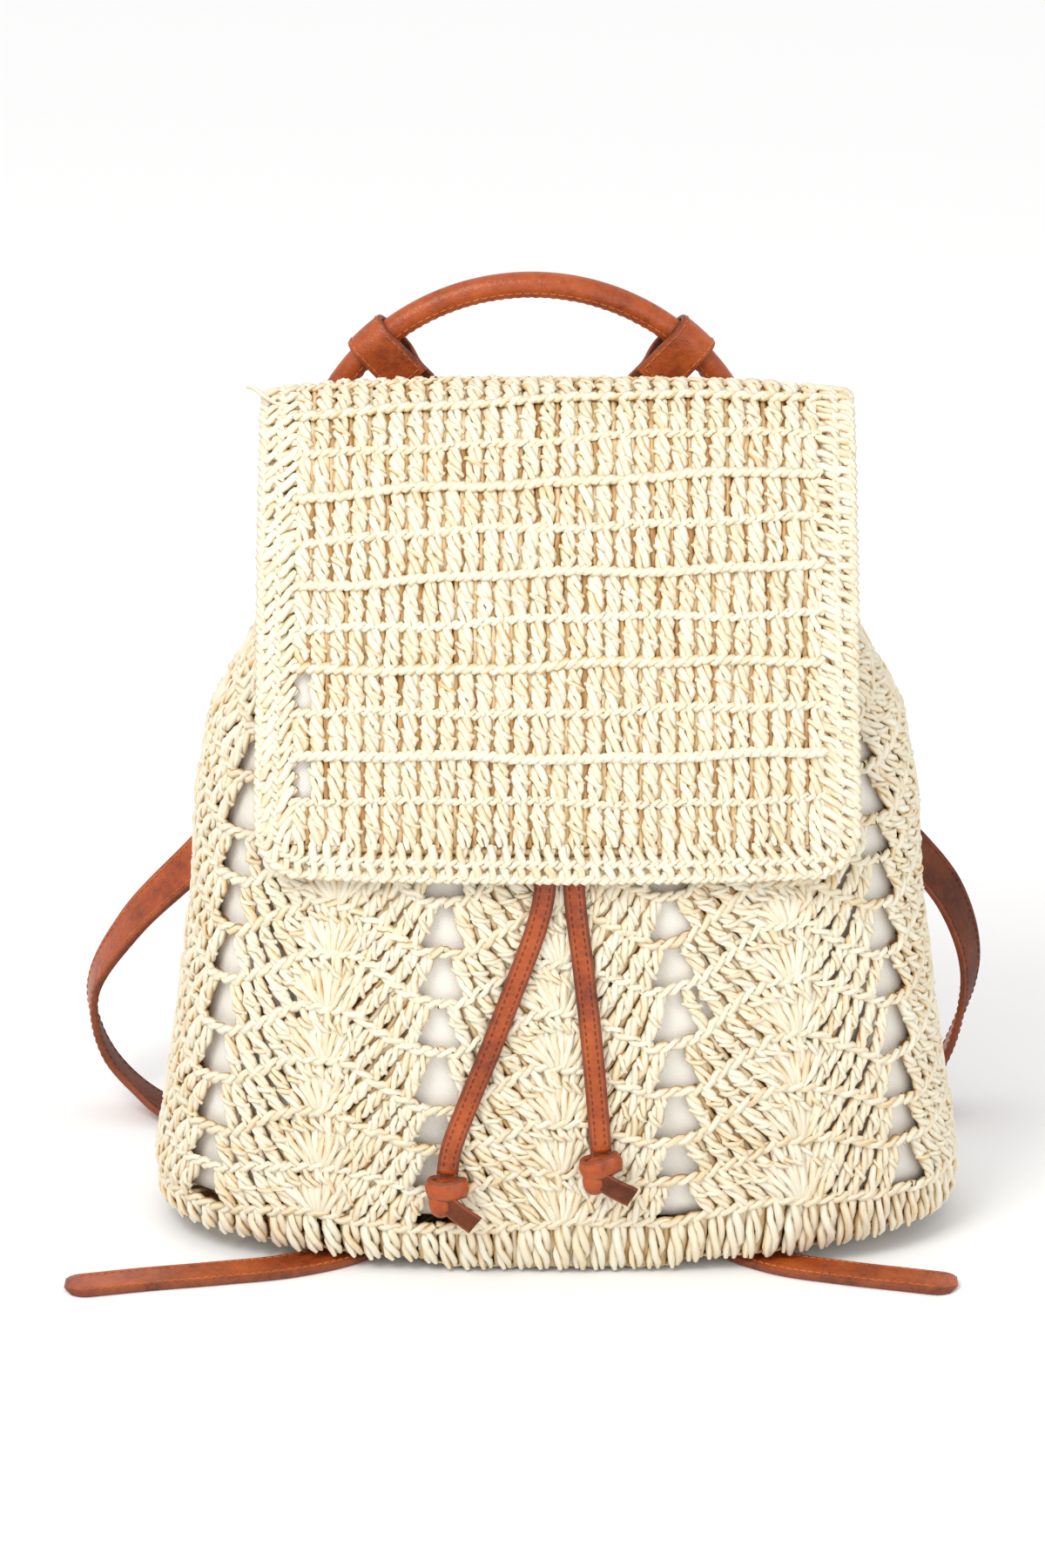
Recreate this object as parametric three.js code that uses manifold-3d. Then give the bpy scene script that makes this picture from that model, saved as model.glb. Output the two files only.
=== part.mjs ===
// A crocheted straw backpack: a pierced straw body on a soft base, with a cloth lining, a straw flap,
// a rolled leather handle on two tabs, leather shoulder straps, and a leather drawstring with knotted ends.
// Millimetres, +Z up, the front faces -Y. The origin is the middle of the base, on the floor.
import * as THREE from "three";
import Module from "manifold-3d";

const wasm = await Module();
wasm.setup();

// Driving dimensions of the body
const BODY_WIDTH = 320; // at its widest, just above the base
const BODY_DEPTH = 142; // of the stuffed body at its base
const BODY_HEIGHT = 310; // from the floor to the mouth
const BODY_ROUNDNESS = 2.6; // exponent of the rounded oval that each level section has
const STRAW_WALL = 3; // thickness of the crochet
const SEAM_GAP = 0.3; // left between pieces that are sewn together

// The stitch pattern of the body
const PERIODS = 8; // fans around the body
const GAP_LEFT = 0.4; // share of a period, from a fan
const GAP_MIDDLE = 0.5;
const COLUMN_SHARES = [0, 0.2, GAP_LEFT, GAP_MIDDLE, 0.6, 0.8];
const RIDGE_RIPPLE = 17; // how far a row dips from a fan to a gap
const RIDGE_SWAY = 11; // how much higher the rows run on the right of the front
const GAP_MARGIN = 2.8; // straw left above and below each triangular gap
const GAP_INSET = 0.14; // straw left beside it, as a share of half its width

// The base
const FLAT_HALF_WIDTH = 40; // of the stretch that lies on the floor
const DRAPE_RUN = 9; // over which the base climbs onto the straps under it
const RIM_DRAPE_RUN = 18; // the same at its rim
const RIM_GAP = 0.8; // between the base and the wall's lower edge
const CORNER_LIFT = 5; // more height under the outer corners

// The lining
const LINING_WALL = 1;
const LINING_GAP = 3; // from the straw
const LINING_FLOOR_HEIGHT = 24; // above the floor

// The flap
const FLAP_TOP_WIDTH = 226;
const FLAP_BOTTOM_WIDTH = 234;
const FLAP_WALL = 3.2;
const FLAP_CORNER_RADIUS = 17;
const FLAP_SIDE_SETBACK = 12; // how far its sides curve back
const FLAP_LINING_WALL = 0.8;
const FLAP_RISE = 30; // of its fold over the mouth
const FLAP_CREST = BODY_HEIGHT + FLAP_RISE;
const FLAP_DROP = 171; // from the crest down to its lower edge
const FLAP_CORNER_SAG = 5; // how far its fold droops at both sides
const FLAP_GAP = 4.9; // between the flap and the body's front, where the laces run

// Leather
const STRAP_WIDTH = 18;
const STRAP_WALL = 3;
const STRAP_CLEARANCE = 0.6; // between a strap on the floor and the base over it
const HANDLE_RADIUS = 90; // of the arc
const HANDLE_DIAMETER = 10; // of the rolled leather
const HANDLE_SHIFT = -10; // the handle hangs a little to the left
const HANDLE_CENTRE_DROP = 31; // of the arc's centre, below the mouth
const HANDLE_CENTRE_HEIGHT = BODY_HEIGHT - HANDLE_CENTRE_DROP;
const TAB_WIDTH = 17;
const TAB_WALL = 2.4;
const TAB_LENGTH = 55; // from the handle to its sewn end
const TAB_FOLD_LENGTH = 20; // from the handle to the end that is folded back
const TONGUE_WIDTH = 14; // the handle's flattened ends
const TONGUE_WALL = 3;
const PATCH_WALL = 2.2;
const BACK_PATCH_WIDTH = 46;
const BACK_PATCH_HEIGHT = 44;
const CORNER_PATCH_WIDTH = 50;
const CORNER_PATCH_HEIGHT = 21;
const BACK_PATCH_EASE = 2.3; // a patch lies this much prouder than the strap under it
const CORNER_PATCH_EASE = 1.3;
const CORNER_PATCH_OVERLAP = 4; // of a corner patch above the straps' ends
const CORNER_PATCH_SHARE = 0.62; // of the body's half width, to its middle

// The drawstring
const LACE_WIDTH = 7.6;
const LACE_WALL = 2.8;
const CHANNEL_DROP = 16; // of the row of stitches that the drawstring is threaded through, below the mouth
const CHANNEL_ROW_HEIGHT = 12;
const CHANNEL_HIGH = BODY_HEIGHT - CHANNEL_DROP;
const CHANNEL_LOW = CHANNEL_HIGH - CHANNEL_ROW_HEIGHT;
const DRAWSTRING_HALF_GAP = 10; // at the front, between its two ends

const HALF_WIDTH = BODY_WIDTH / 2;
const HALF_DEPTH = BODY_DEPTH / 2;
const COLUMNS = PERIODS * COLUMN_SHARES.length;

// Level sections of the body: up is a share of its height, wide of its half width,
// front and back of its half depth.
const SECTIONS = [
  { up: 0.0, wide: 0.95, front: 0.9, back: 0.9 },
  { up: 0.04, wide: 0.985, front: 0.955, back: 0.955 },
  { up: 0.09, wide: 1.0, front: 0.985, back: 0.97 },
  { up: 0.226, wide: 0.957, front: 1.042, back: 0.958 },
  { up: 0.342, wide: 0.928, front: 1.042, back: 0.93 },
  { up: 0.461, wide: 0.9, front: 0.986, back: 0.901 },
  { up: 0.58, wide: 0.889, front: 0.887, back: 0.873 },
  { up: 0.694, wide: 0.85, front: 0.746, back: 0.845 },
  { up: 0.8, wide: 0.735, front: 0.577, back: 0.789 },
  { up: 0.871, wide: 0.655, front: 0.43, back: 0.725 },
  { up: CHANNEL_LOW / BODY_HEIGHT, wide: 0.61, front: 0.31, back: 0.662 },
  { up: CHANNEL_HIGH / BODY_HEIGHT, wide: 0.61, front: 0.31, back: 0.662 },
  { up: 1.0, wide: 0.63, front: 0.31, back: 0.662 },
];

// Rows of the body: up is the height of the row's top at a fan, as a share of the body's height,
// and ripple and sway are shares of RIDGE_RIPPLE and RIDGE_SWAY.
const ROWS = [
  { up: 0.074, ripple: 0.18, sway: 0.7 },
  { up: 0.146, ripple: 0.5, sway: 1 },
  { up: 0.219, ripple: 0.8, sway: 1 },
  { up: 0.293, ripple: 1, sway: 1 },
  { up: 0.365, ripple: 1, sway: 1 },
  { up: 0.433, ripple: 1, sway: 1 },
  { up: 0.498, ripple: 1, sway: 0.9 },
  { up: 0.562, ripple: 1, sway: 0.7 },
  { up: 0.626, ripple: 1, sway: 0.5 },
  { up: 0.69, ripple: 1, sway: 0.4 },
  { up: 0.754, ripple: 0.9, sway: 0.3 },
  { up: 0.812, ripple: 0.65, sway: 0.15 },
  { up: 0.862, ripple: 0.3, sway: 0 },
  { up: CHANNEL_LOW / BODY_HEIGHT, ripple: 0, sway: 0 },
  { up: CHANNEL_HIGH / BODY_HEIGHT, ripple: 0, sway: 0 },
  { up: 1, ripple: 0, sway: 0 },
];
const FIRST_GAP_ROW = 1;
const LAST_GAP_ROW = 12;

const lerp = THREE.MathUtils.lerp;
const smooth = (low, high, x) => THREE.MathUtils.smoothstep(x, low, high);

// One column of a table at a height, along straight lines between its rows.
function tableAt(rows, name, share) {
  const last = rows.length - 1;
  let i = 0;
  while (i < last - 1 && rows[i + 1].up < share) i += 1;
  const part = THREE.MathUtils.clamp((share - rows[i].up) / (rows[i + 1].up - rows[i].up), 0, 1);
  return lerp(rows[i][name], rows[i + 1][name], part);
}

function sectionAt(z) {
  const share = z / BODY_HEIGHT;
  return {
    wide: tableAt(SECTIONS, "wide", share) * HALF_WIDTH,
    front: tableAt(SECTIONS, "front", share) * HALF_DEPTH,
    back: tableAt(SECTIONS, "back", share) * HALF_DEPTH,
  };
}

// Depth of the rounded oval at x, as a positive distance from the middle plane.
function ovalDepth(x, wide, deep) {
  const across = Math.min(1, Math.abs(x) / wide);
  return deep * (1 - across ** BODY_ROUNDNESS) ** (1 / BODY_ROUNDNESS);
}

const backSurface = (x, z) => ovalDepth(x, sectionAt(z).wide, sectionAt(z).back);

// A point of the oval at a share of a quarter turn, from the front or back middle (0) to the side (1).
function quarterPoint(share, wide, deep) {
  const angle = (share * Math.PI) / 2;
  const power = 2 / BODY_ROUNDNESS;
  return [wide * Math.sin(angle) ** power, deep * Math.cos(angle) ** power];
}

const QUARTER_STEPS = 48;
// The same point, but at a share of the quarter's length.
function quarterAtLength(share, wide, deep) {
  const points = [];
  const lengths = [0];
  for (let i = 0; i <= QUARTER_STEPS; i += 1) {
    points.push(quarterPoint(i / QUARTER_STEPS, wide, deep));
    if (i) {
      const step = Math.hypot(points[i][0] - points[i - 1][0], points[i][1] - points[i - 1][1]);
      lengths.push(lengths[i - 1] + step);
    }
  }
  const goal = share * lengths[QUARTER_STEPS];
  let i = 1;
  while (i < QUARTER_STEPS && lengths[i] < goal) i += 1;
  const part = (goal - lengths[i - 1]) / (lengths[i] - lengths[i - 1]);
  return [lerp(points[i - 1][0], points[i][0], part), lerp(points[i - 1][1], points[i][1], part)];
}

// A point of the body at a share of the way round, anticlockwise from the front middle seen from above,
// at height z, moved outwards by `out`.
function bodyPoint(round, z, out) {
  const turn = round - Math.floor(round);
  const quarter = Math.min(3, Math.floor(turn * 4));
  const within = turn * 4 - quarter;
  const s = sectionAt(z);
  const atFront = quarter === 0 || quarter === 3;
  const fromMiddle = quarter % 2 === 0 ? within : 1 - within;
  const [x, y] = quarterAtLength(fromMiddle, s.wide + out, (atFront ? s.front : s.back) + out);
  return new THREE.Vector3(quarter < 2 ? x : -x, atFront ? -y : y, z);
}

// A column's share of the way round.
function columnRound(i) {
  const count = COLUMN_SHARES.length;
  return (Math.floor(i / count) + COLUMN_SHARES[i % count]) / PERIODS;
}

// How far a row has dipped at a share of the way round: 0 at a fan, 1 at a gap.
const FAN_FLAT = 0.1;
const GAP_FLAT = 0.42;
function rippleAt(round) {
  const inPeriod = round * PERIODS;
  const fromFan = Math.abs(inPeriod - Math.round(inPeriod));
  return THREE.MathUtils.clamp((fromFan - FAN_FLAT) / (GAP_FLAT - FAN_FLAT), 0, 1);
}

// Rows climb to the right of the front's middle and come down again along the back.
function swayAt(round) {
  return smooth(0.01, 0.12, round) * (1 - smooth(0.3, 0.5, round));
}

function ridgeHeight(row, round) {
  const { up, ripple, sway } = ROWS[row];
  return up * BODY_HEIGHT - ripple * RIDGE_RIPPLE * rippleAt(round) + sway * RIDGE_SWAY * swayAt(round);
}

// Height of the base's underside: flat on the floor in the middle, draped over the straps beside that.
// Its share runs from 0 in the middle to 1 on its outline.
function baseUnderside(x, share) {
  const drape = STRAP_WALL + STRAP_CLEARANCE;
  const run = lerp(DRAPE_RUN, RIM_DRAPE_RUN, smooth(0.6, 0.9, share));
  const overStraps = drape * smooth(FLAT_HALF_WIDTH, FLAT_HALF_WIDTH + run, Math.abs(x));
  const outerShare = smooth(HALF_WIDTH * 0.45, HALF_WIDTH * 0.95, Math.abs(x));
  return overStraps + CORNER_LIFT * outerShare * smooth(0.7, 0.95, share);
}

// Closes a mesh from points and triangles, facing out.
function closedGeometry(points, triangles) {
  const corner = (t, n) => points[triangles[t * 3 + n]];
  let volume = 0;
  const side = new THREE.Vector3();
  for (let t = 0; t < triangles.length / 3; t += 1) {
    volume += corner(t, 0).dot(side.copy(corner(t, 1)).cross(corner(t, 2)));
  }
  if (volume < 0) triangles.reverse();
  const geometry = new THREE.BufferGeometry().setFromPoints(points);
  geometry.setIndex(triangles);
  geometry.computeVertexNormals();
  return geometry;
}

// A sheet with thickness: each place gives a point on both faces, and open edges are closed by a wall.
function thickSheet(places, triangles, pointOn) {
  const count = places.length;
  const points = [...places.map((p) => pointOn(p, 0)), ...places.map((p) => pointOn(p, 1))];
  const faces = [...triangles];
  for (let t = 0; t < triangles.length; t += 3) {
    faces.push(triangles[t + 2] + count, triangles[t + 1] + count, triangles[t] + count);
  }
  const directed = new Set();
  const edges = [];
  for (let t = 0; t < triangles.length; t += 3) {
    for (let n = 0; n < 3; n += 1) {
      const edge = [triangles[t + n], triangles[t + ((n + 1) % 3)]];
      directed.add(edge.join());
      edges.push(edge);
    }
  }
  for (const [a, b] of edges) {
    if (directed.has(`${b},${a}`)) continue;
    faces.push(b, a, a + count, b, a + count, b + count);
  }
  return closedGeometry(points, faces);
}

// Places and triangles of a plain grid. Its columns join up where `wraps` is true.
function grid(columns, rows, wraps, place) {
  const across = wraps ? columns : columns + 1;
  const places = [];
  for (let j = 0; j <= rows; j += 1) {
    for (let i = 0; i < across; i += 1) places.push(place(i / columns, j / rows));
  }
  const at = (i, j) => j * across + (i % across);
  const triangles = [];
  for (let j = 0; j < rows; j += 1) {
    for (let i = 0; i < columns; i += 1) {
      triangles.push(at(i, j), at(i + 1, j), at(i + 1, j + 1));
      triangles.push(at(i, j), at(i + 1, j + 1), at(i, j + 1));
    }
  }
  return { places, triangles };
}

// A solid through closed rings of points, with flat ends.
function loft(rings) {
  const sides = rings[0].length;
  const points = rings.flat();
  const triangles = [];
  for (let r = 0; r < rings.length - 1; r += 1) {
    for (let i = 0; i < sides; i += 1) {
      const a = r * sides + i;
      const b = r * sides + ((i + 1) % sides);
      triangles.push(a, b, b + sides, a, b + sides, a + sides);
    }
  }
  const end = (rings.length - 1) * sides;
  for (let i = 1; i < sides - 1; i += 1) {
    triangles.push(0, i + 1, i, end, end + i, end + i + 1);
  }
  return closedGeometry(points, triangles);
}

// Joins closed geometries into one solid.
function joined(geometries) {
  const solids = geometries.map((geometry) => {
    const flat = geometry.index ? geometry : geometry.clone();
    return new wasm.Manifold(
      new wasm.Mesh({
        numProp: 3,
        vertProperties: new Float32Array(flat.getAttribute("position").array),
        triVerts: new Uint32Array(flat.index.array),
      }),
    );
  });
  const mesh = solids.reduce((whole, solid) => whole.add(solid)).getMesh();
  const geometry = new THREE.BufferGeometry();
  geometry.setAttribute("position", new THREE.BufferAttribute(mesh.vertProperties, 3));
  geometry.setIndex(new THREE.BufferAttribute(mesh.triVerts, 1));
  geometry.computeVertexNormals();
  return geometry;
}

// The straw body: rows of stitches between rippled ridges, with a triangular gap in each dip.
function bodyWall() {
  const places = [];
  for (let i = 0; i < COLUMNS; i += 1) {
    const round = columnRound(i);
    places.push({ round, z: baseUnderside(bodyPoint(round, 0, 0).x, 1) + STRAW_WALL + RIM_GAP });
  }
  for (let row = 0; row < ROWS.length; row += 1) {
    for (let i = 0; i < COLUMNS; i += 1) {
      const round = columnRound(i);
      places.push({ round, z: ridgeHeight(row, round) });
    }
  }
  const at = (i, level) => level * COLUMNS + (i % COLUMNS);
  const triangles = [];
  const quad = (a, b, c, d) => triangles.push(a, b, c, a, c, d);
  for (let level = 0; level < ROWS.length; level += 1) {
    for (let i = 0; i < COLUMNS; i += 1) {
      const share = COLUMN_SHARES[i % COLUMN_SHARES.length];
      const inGapRow = level >= FIRST_GAP_ROW && level <= LAST_GAP_ROW;
      const besideGap = inGapRow && (share === GAP_LEFT || share === GAP_MIDDLE);
      if (!besideGap) quad(at(i, level), at(i + 1, level), at(i + 1, level + 1), at(i, level + 1));
      if (!besideGap || share === GAP_MIDDLE) continue;
      const [a, b, c] = [at(i, level), at(i + 1, level), at(i + 2, level)];
      const [d, e, f] = [at(i, level + 1), at(i + 1, level + 1), at(i + 2, level + 1)];
      const [left, right, top] = [places.length, places.length + 1, places.length + 2];
      places.push({ round: lerp(places[a].round, places[b].round, GAP_INSET), z: places[a].z + GAP_MARGIN });
      places.push({ round: lerp(places[c].round, places[b].round, GAP_INSET), z: places[c].z + GAP_MARGIN });
      places.push({ round: places[b].round, z: places[e].z - GAP_MARGIN });
      triangles.push(a, b, left, b, right, left, b, c, right);
      triangles.push(a, left, d, left, top, d, d, top, e, c, f, right, right, f, top, f, e, top);
    }
  }
  return thickSheet(places, triangles, (p, face) => bodyPoint(p.round, p.z, face ? -STRAW_WALL : 0));
}

// The straw base, a soft disc as wide as the body's lower edge. Its outer lines lie at shares of its
// half width.
const BASE_LINES = [0.5, 0.62, 0.74, 0.86, 0.96, 0.998];
const BASE_ROWS = 6;
function basePanel() {
  const rim = sectionAt(0);
  const flat = FLAT_HALF_WIDTH;
  const inner = [0, flat / 2, flat, flat + DRAPE_RUN, flat + RIM_DRAPE_RUN];
  const lines = [...inner, ...BASE_LINES.map((share) => share * rim.wide)];
  const across = [...lines.slice(1).reverse().map((x) => -x), ...lines];
  const { places, triangles } = grid(across.length - 1, BASE_ROWS, false, (i, j) => {
    const x = across[Math.round(i * (across.length - 1))];
    const y = (j * 2 - 1) * ovalDepth(x, rim.wide, rim.front);
    const power = BODY_ROUNDNESS;
    const share = (Math.abs(x / rim.wide) ** power + Math.abs(y / rim.front) ** power) ** (1 / power);
    return { x, y, share };
  });
  return thickSheet(places, triangles, ({ x, y, share }, face) => {
    return new THREE.Vector3(x, y, baseUnderside(x, share) + (face ? STRAW_WALL : 0));
  });
}

// The lining: a cloth bag inside the straw, from its own floor up to just under the mouth.
const LINING_FLOOR_RINGS = [0.5, 0.85];
const LINING_COLUMN_SHARES = [0, 0.33, 0.67];
const LINING_TOP_INSET = 2; // below the mouth
function liningBag() {
  const inwards = -(STRAW_WALL + LINING_GAP);
  const top = BODY_HEIGHT - LINING_TOP_INSET;
  const levels = SECTIONS.map(({ up }) => up * BODY_HEIGHT).filter((z) => z > LINING_FLOOR_HEIGHT && z < top);
  const rounds = [];
  for (let n = 0; n < PERIODS; n += 1) {
    for (const share of LINING_COLUMN_SHARES) rounds.push((n + share) / PERIODS);
  }
  const places = [{ round: 0, share: 0, z: LINING_FLOOR_HEIGHT }];
  const ring = (share, z) => rounds.forEach((round) => places.push({ round, share, z }));
  for (const share of LINING_FLOOR_RINGS) ring(share, LINING_FLOOR_HEIGHT);
  for (const z of [LINING_FLOOR_HEIGHT, ...levels, top]) ring(1, z);
  const sides = rounds.length;
  const at = (row, i) => 1 + row * sides + (i % sides);
  const triangles = [];
  for (let i = 0; i < sides; i += 1) {
    triangles.push(0, at(0, i), at(0, i + 1));
    for (let row = 0; row < (places.length - 1) / sides - 1; row += 1) {
      triangles.push(at(row, i), at(row + 1, i), at(row + 1, i + 1));
      triangles.push(at(row, i), at(row + 1, i + 1), at(row, i + 1));
    }
  }
  return thickSheet(places, triangles, ({ round, share, z }, face) => {
    const p = bodyPoint(round, z, inwards - (face ? LINING_WALL : 0));
    const lift = face && z === LINING_FLOOR_HEIGHT ? LINING_WALL : 0;
    return new THREE.Vector3(p.x * share, p.y * share, z + lift);
  });
}

// The flap's side view, from its seam on the back, over the mouth and down the front, as depths in shares
// of the body's half depth and heights in shares of the flap's crest.
const LAP_LOW = 0.76; // height of the back seam, as a share of the crest's
const LAP_CLEAR_UPS = [0.812, 0.853]; // heights where the flap passes the drawstring, likewise
const LACE_PASSING_GAP = 1.8; // between the drawstring and the flap over it
const LAP_SEAM_GAP = 0.45;
const FLAP_SIDE_VIEW = [
  { deep: 0.69, up: 0.9 },
  { deep: 0.54, up: 0.967 },
  { deep: 0.29, up: 1 },
  { deep: 0.03, up: 0.988 },
  { deep: -0.21, up: 0.948 },
  { deep: -0.45, up: 0.884 },
  { deep: -0.62, up: 0.8 },
  { deep: -0.78, up: 0.7 },
  { deep: -0.91, up: 0.6 },
];
function flapProfile() {
  const laceClear = sectionAt(CHANNEL_LOW).back + LACE_WALL + LACE_PASSING_GAP;
  const lapLow = LAP_LOW * FLAP_CREST;
  const bottom = FLAP_CREST - FLAP_DROP;
  const points = [
    [sectionAt(lapLow).back + LAP_SEAM_GAP, lapLow],
    ...LAP_CLEAR_UPS.map((up) => [laceClear, up * FLAP_CREST]),
    ...FLAP_SIDE_VIEW.map(({ deep, up }) => [deep * HALF_DEPTH, up * FLAP_CREST]),
    [-(sectionAt(bottom).front + FLAP_GAP), bottom],
  ];
  return new THREE.CatmullRomCurve3(points.map(([y, z]) => new THREE.Vector3(0, y, z)));
}
const FLAP_PROFILE = flapProfile();
const FLAP_LENGTH = FLAP_PROFILE.getLength();

// A point of the flap: `along` is the share of its length from the back seam, `across` runs -1 to 1,
// and `out` is the distance outside its inner face.
function flapPoint(along, across, out) {
  const p = FLAP_PROFILE.getPointAt(along);
  const tangent = FLAP_PROFILE.getTangentAt(along);
  const outwards = new THREE.Vector3(0, tangent.z, -tangent.y);
  const fromEnd = (1 - along) * FLAP_LENGTH;
  const round = Math.max(0, FLAP_CORNER_RADIUS - fromEnd);
  const cut = FLAP_CORNER_RADIUS - Math.sqrt(FLAP_CORNER_RADIUS ** 2 - round ** 2);
  const halfWidth = lerp(FLAP_TOP_WIDTH, FLAP_BOTTOM_WIDTH, along) / 2 - cut;
  const x = across * halfWidth;
  const setback = FLAP_SIDE_SETBACK * smooth(0.3, 0.6, along) * (x / (FLAP_BOTTOM_WIDTH / 2)) ** 2;
  const sag = FLAP_CORNER_SAG * across ** 4 * smooth(0.12, 0.3, along) * (1 - smooth(0.3, 0.6, along));
  return p.addScaledVector(outwards, out - setback - sag).setX(x);
}

const FLAP_COLUMNS = 8;
const FLAP_ROWS = 18;
const FLAP_END_CROWDING = 0.35; // packs the rows towards the rounded corners
function flapSheet(low, high) {
  const { places, triangles } = grid(FLAP_COLUMNS, FLAP_ROWS, false, (i, j) => ({
    across: i * 2 - 1,
    along: Math.min(1, j + FLAP_END_CROWDING * j * (1 - j) * j),
  }));
  return thickSheet(places, triangles, (p, face) => flapPoint(p.along, p.across, face ? low : high));
}

// Outer face of the flap's lap on the back, where the leather is sewn on.
const LAP_SHARE = 0.4; // of the flap's length, more than the lap takes up
const LAP_STEP = 0.002;
function lapOuter(z) {
  let share = 0;
  while (FLAP_PROFILE.getPointAt(share).z < z && share < LAP_SHARE) share += LAP_STEP;
  return FLAP_PROFILE.getPointAt(share).y + FLAP_WALL;
}

// The rolled handle: an arc whose ends are flattened into tongues and sewn to the lap.
const HANDLE_SIDES = 8;
const HANDLE_STEPS = 22;
const HANDLE_FIRST_ANGLE = 14; // degrees above level, where the arc ends
const TONGUE_LENGTH = 26;
const TONGUE_SPLAY = 0.12; // how far the tongues lean outwards, for each mm down
const TONGUE_GAP = 0.7; // from the lap
const HANDLE_ENDS = [
  { down: 1, flatness: 1 }, // shares of the tongue's length
  { down: 0.55, flatness: 1 },
  { down: 0.25, flatness: 0.55 },
];
function handleCentreDepth() {
  return lapOuter(HANDLE_CENTRE_HEIGHT) + SEAM_GAP * 2 + TAB_WALL + HANDLE_DIAMETER / 2;
}
function handle() {
  const tube = HANDLE_DIAMETER / 2;
  const first = THREE.MathUtils.degToRad(HANDLE_FIRST_ANGLE);
  const stations = [];
  const legX = HANDLE_RADIUS * Math.cos(first);
  const legZ = HANDLE_CENTRE_HEIGHT + HANDLE_RADIUS * Math.sin(first);
  const flatDepth = lapOuter(legZ - TONGUE_LENGTH) + TONGUE_GAP + TONGUE_WALL / 2;
  const leg = (side, { down, flatness }) => ({
    x: HANDLE_SHIFT + side * (legX + down * TONGUE_LENGTH * TONGUE_SPLAY),
    y: lerp(handleCentreDepth(), flatDepth, flatness),
    z: legZ - down * TONGUE_LENGTH,
    along: new THREE.Vector3(0, 0, side),
    wide: lerp(tube, TONGUE_WIDTH / 2, flatness),
    deep: lerp(tube, TONGUE_WALL / 2, flatness),
  });
  for (const end of HANDLE_ENDS) stations.push(leg(1, end));
  for (let i = 0; i <= HANDLE_STEPS; i += 1) {
    const angle = lerp(first, Math.PI - first, i / HANDLE_STEPS);
    stations.push({
      x: HANDLE_SHIFT + HANDLE_RADIUS * Math.cos(angle),
      y: handleCentreDepth(),
      z: HANDLE_CENTRE_HEIGHT + HANDLE_RADIUS * Math.sin(angle),
      along: new THREE.Vector3(-Math.sin(angle), 0, Math.cos(angle)),
      wide: tube,
      deep: tube,
    });
  }
  for (const end of [...HANDLE_ENDS].reverse()) stations.push(leg(-1, end));
  const depthWise = new THREE.Vector3(0, 1, 0);
  return loft(
    stations.map(({ x, y, z, along, wide, deep }) => {
      const sideWise = new THREE.Vector3().crossVectors(along, depthWise);
      return Array.from({ length: HANDLE_SIDES }, (_, i) => {
        const turn = (i / HANDLE_SIDES) * Math.PI * 2;
        return new THREE.Vector3(x, y, z)
          .addScaledVector(sideWise, wide * Math.cos(turn))
          .addScaledVector(depthWise, deep * Math.sin(turn));
      });
    }),
  );
}

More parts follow.
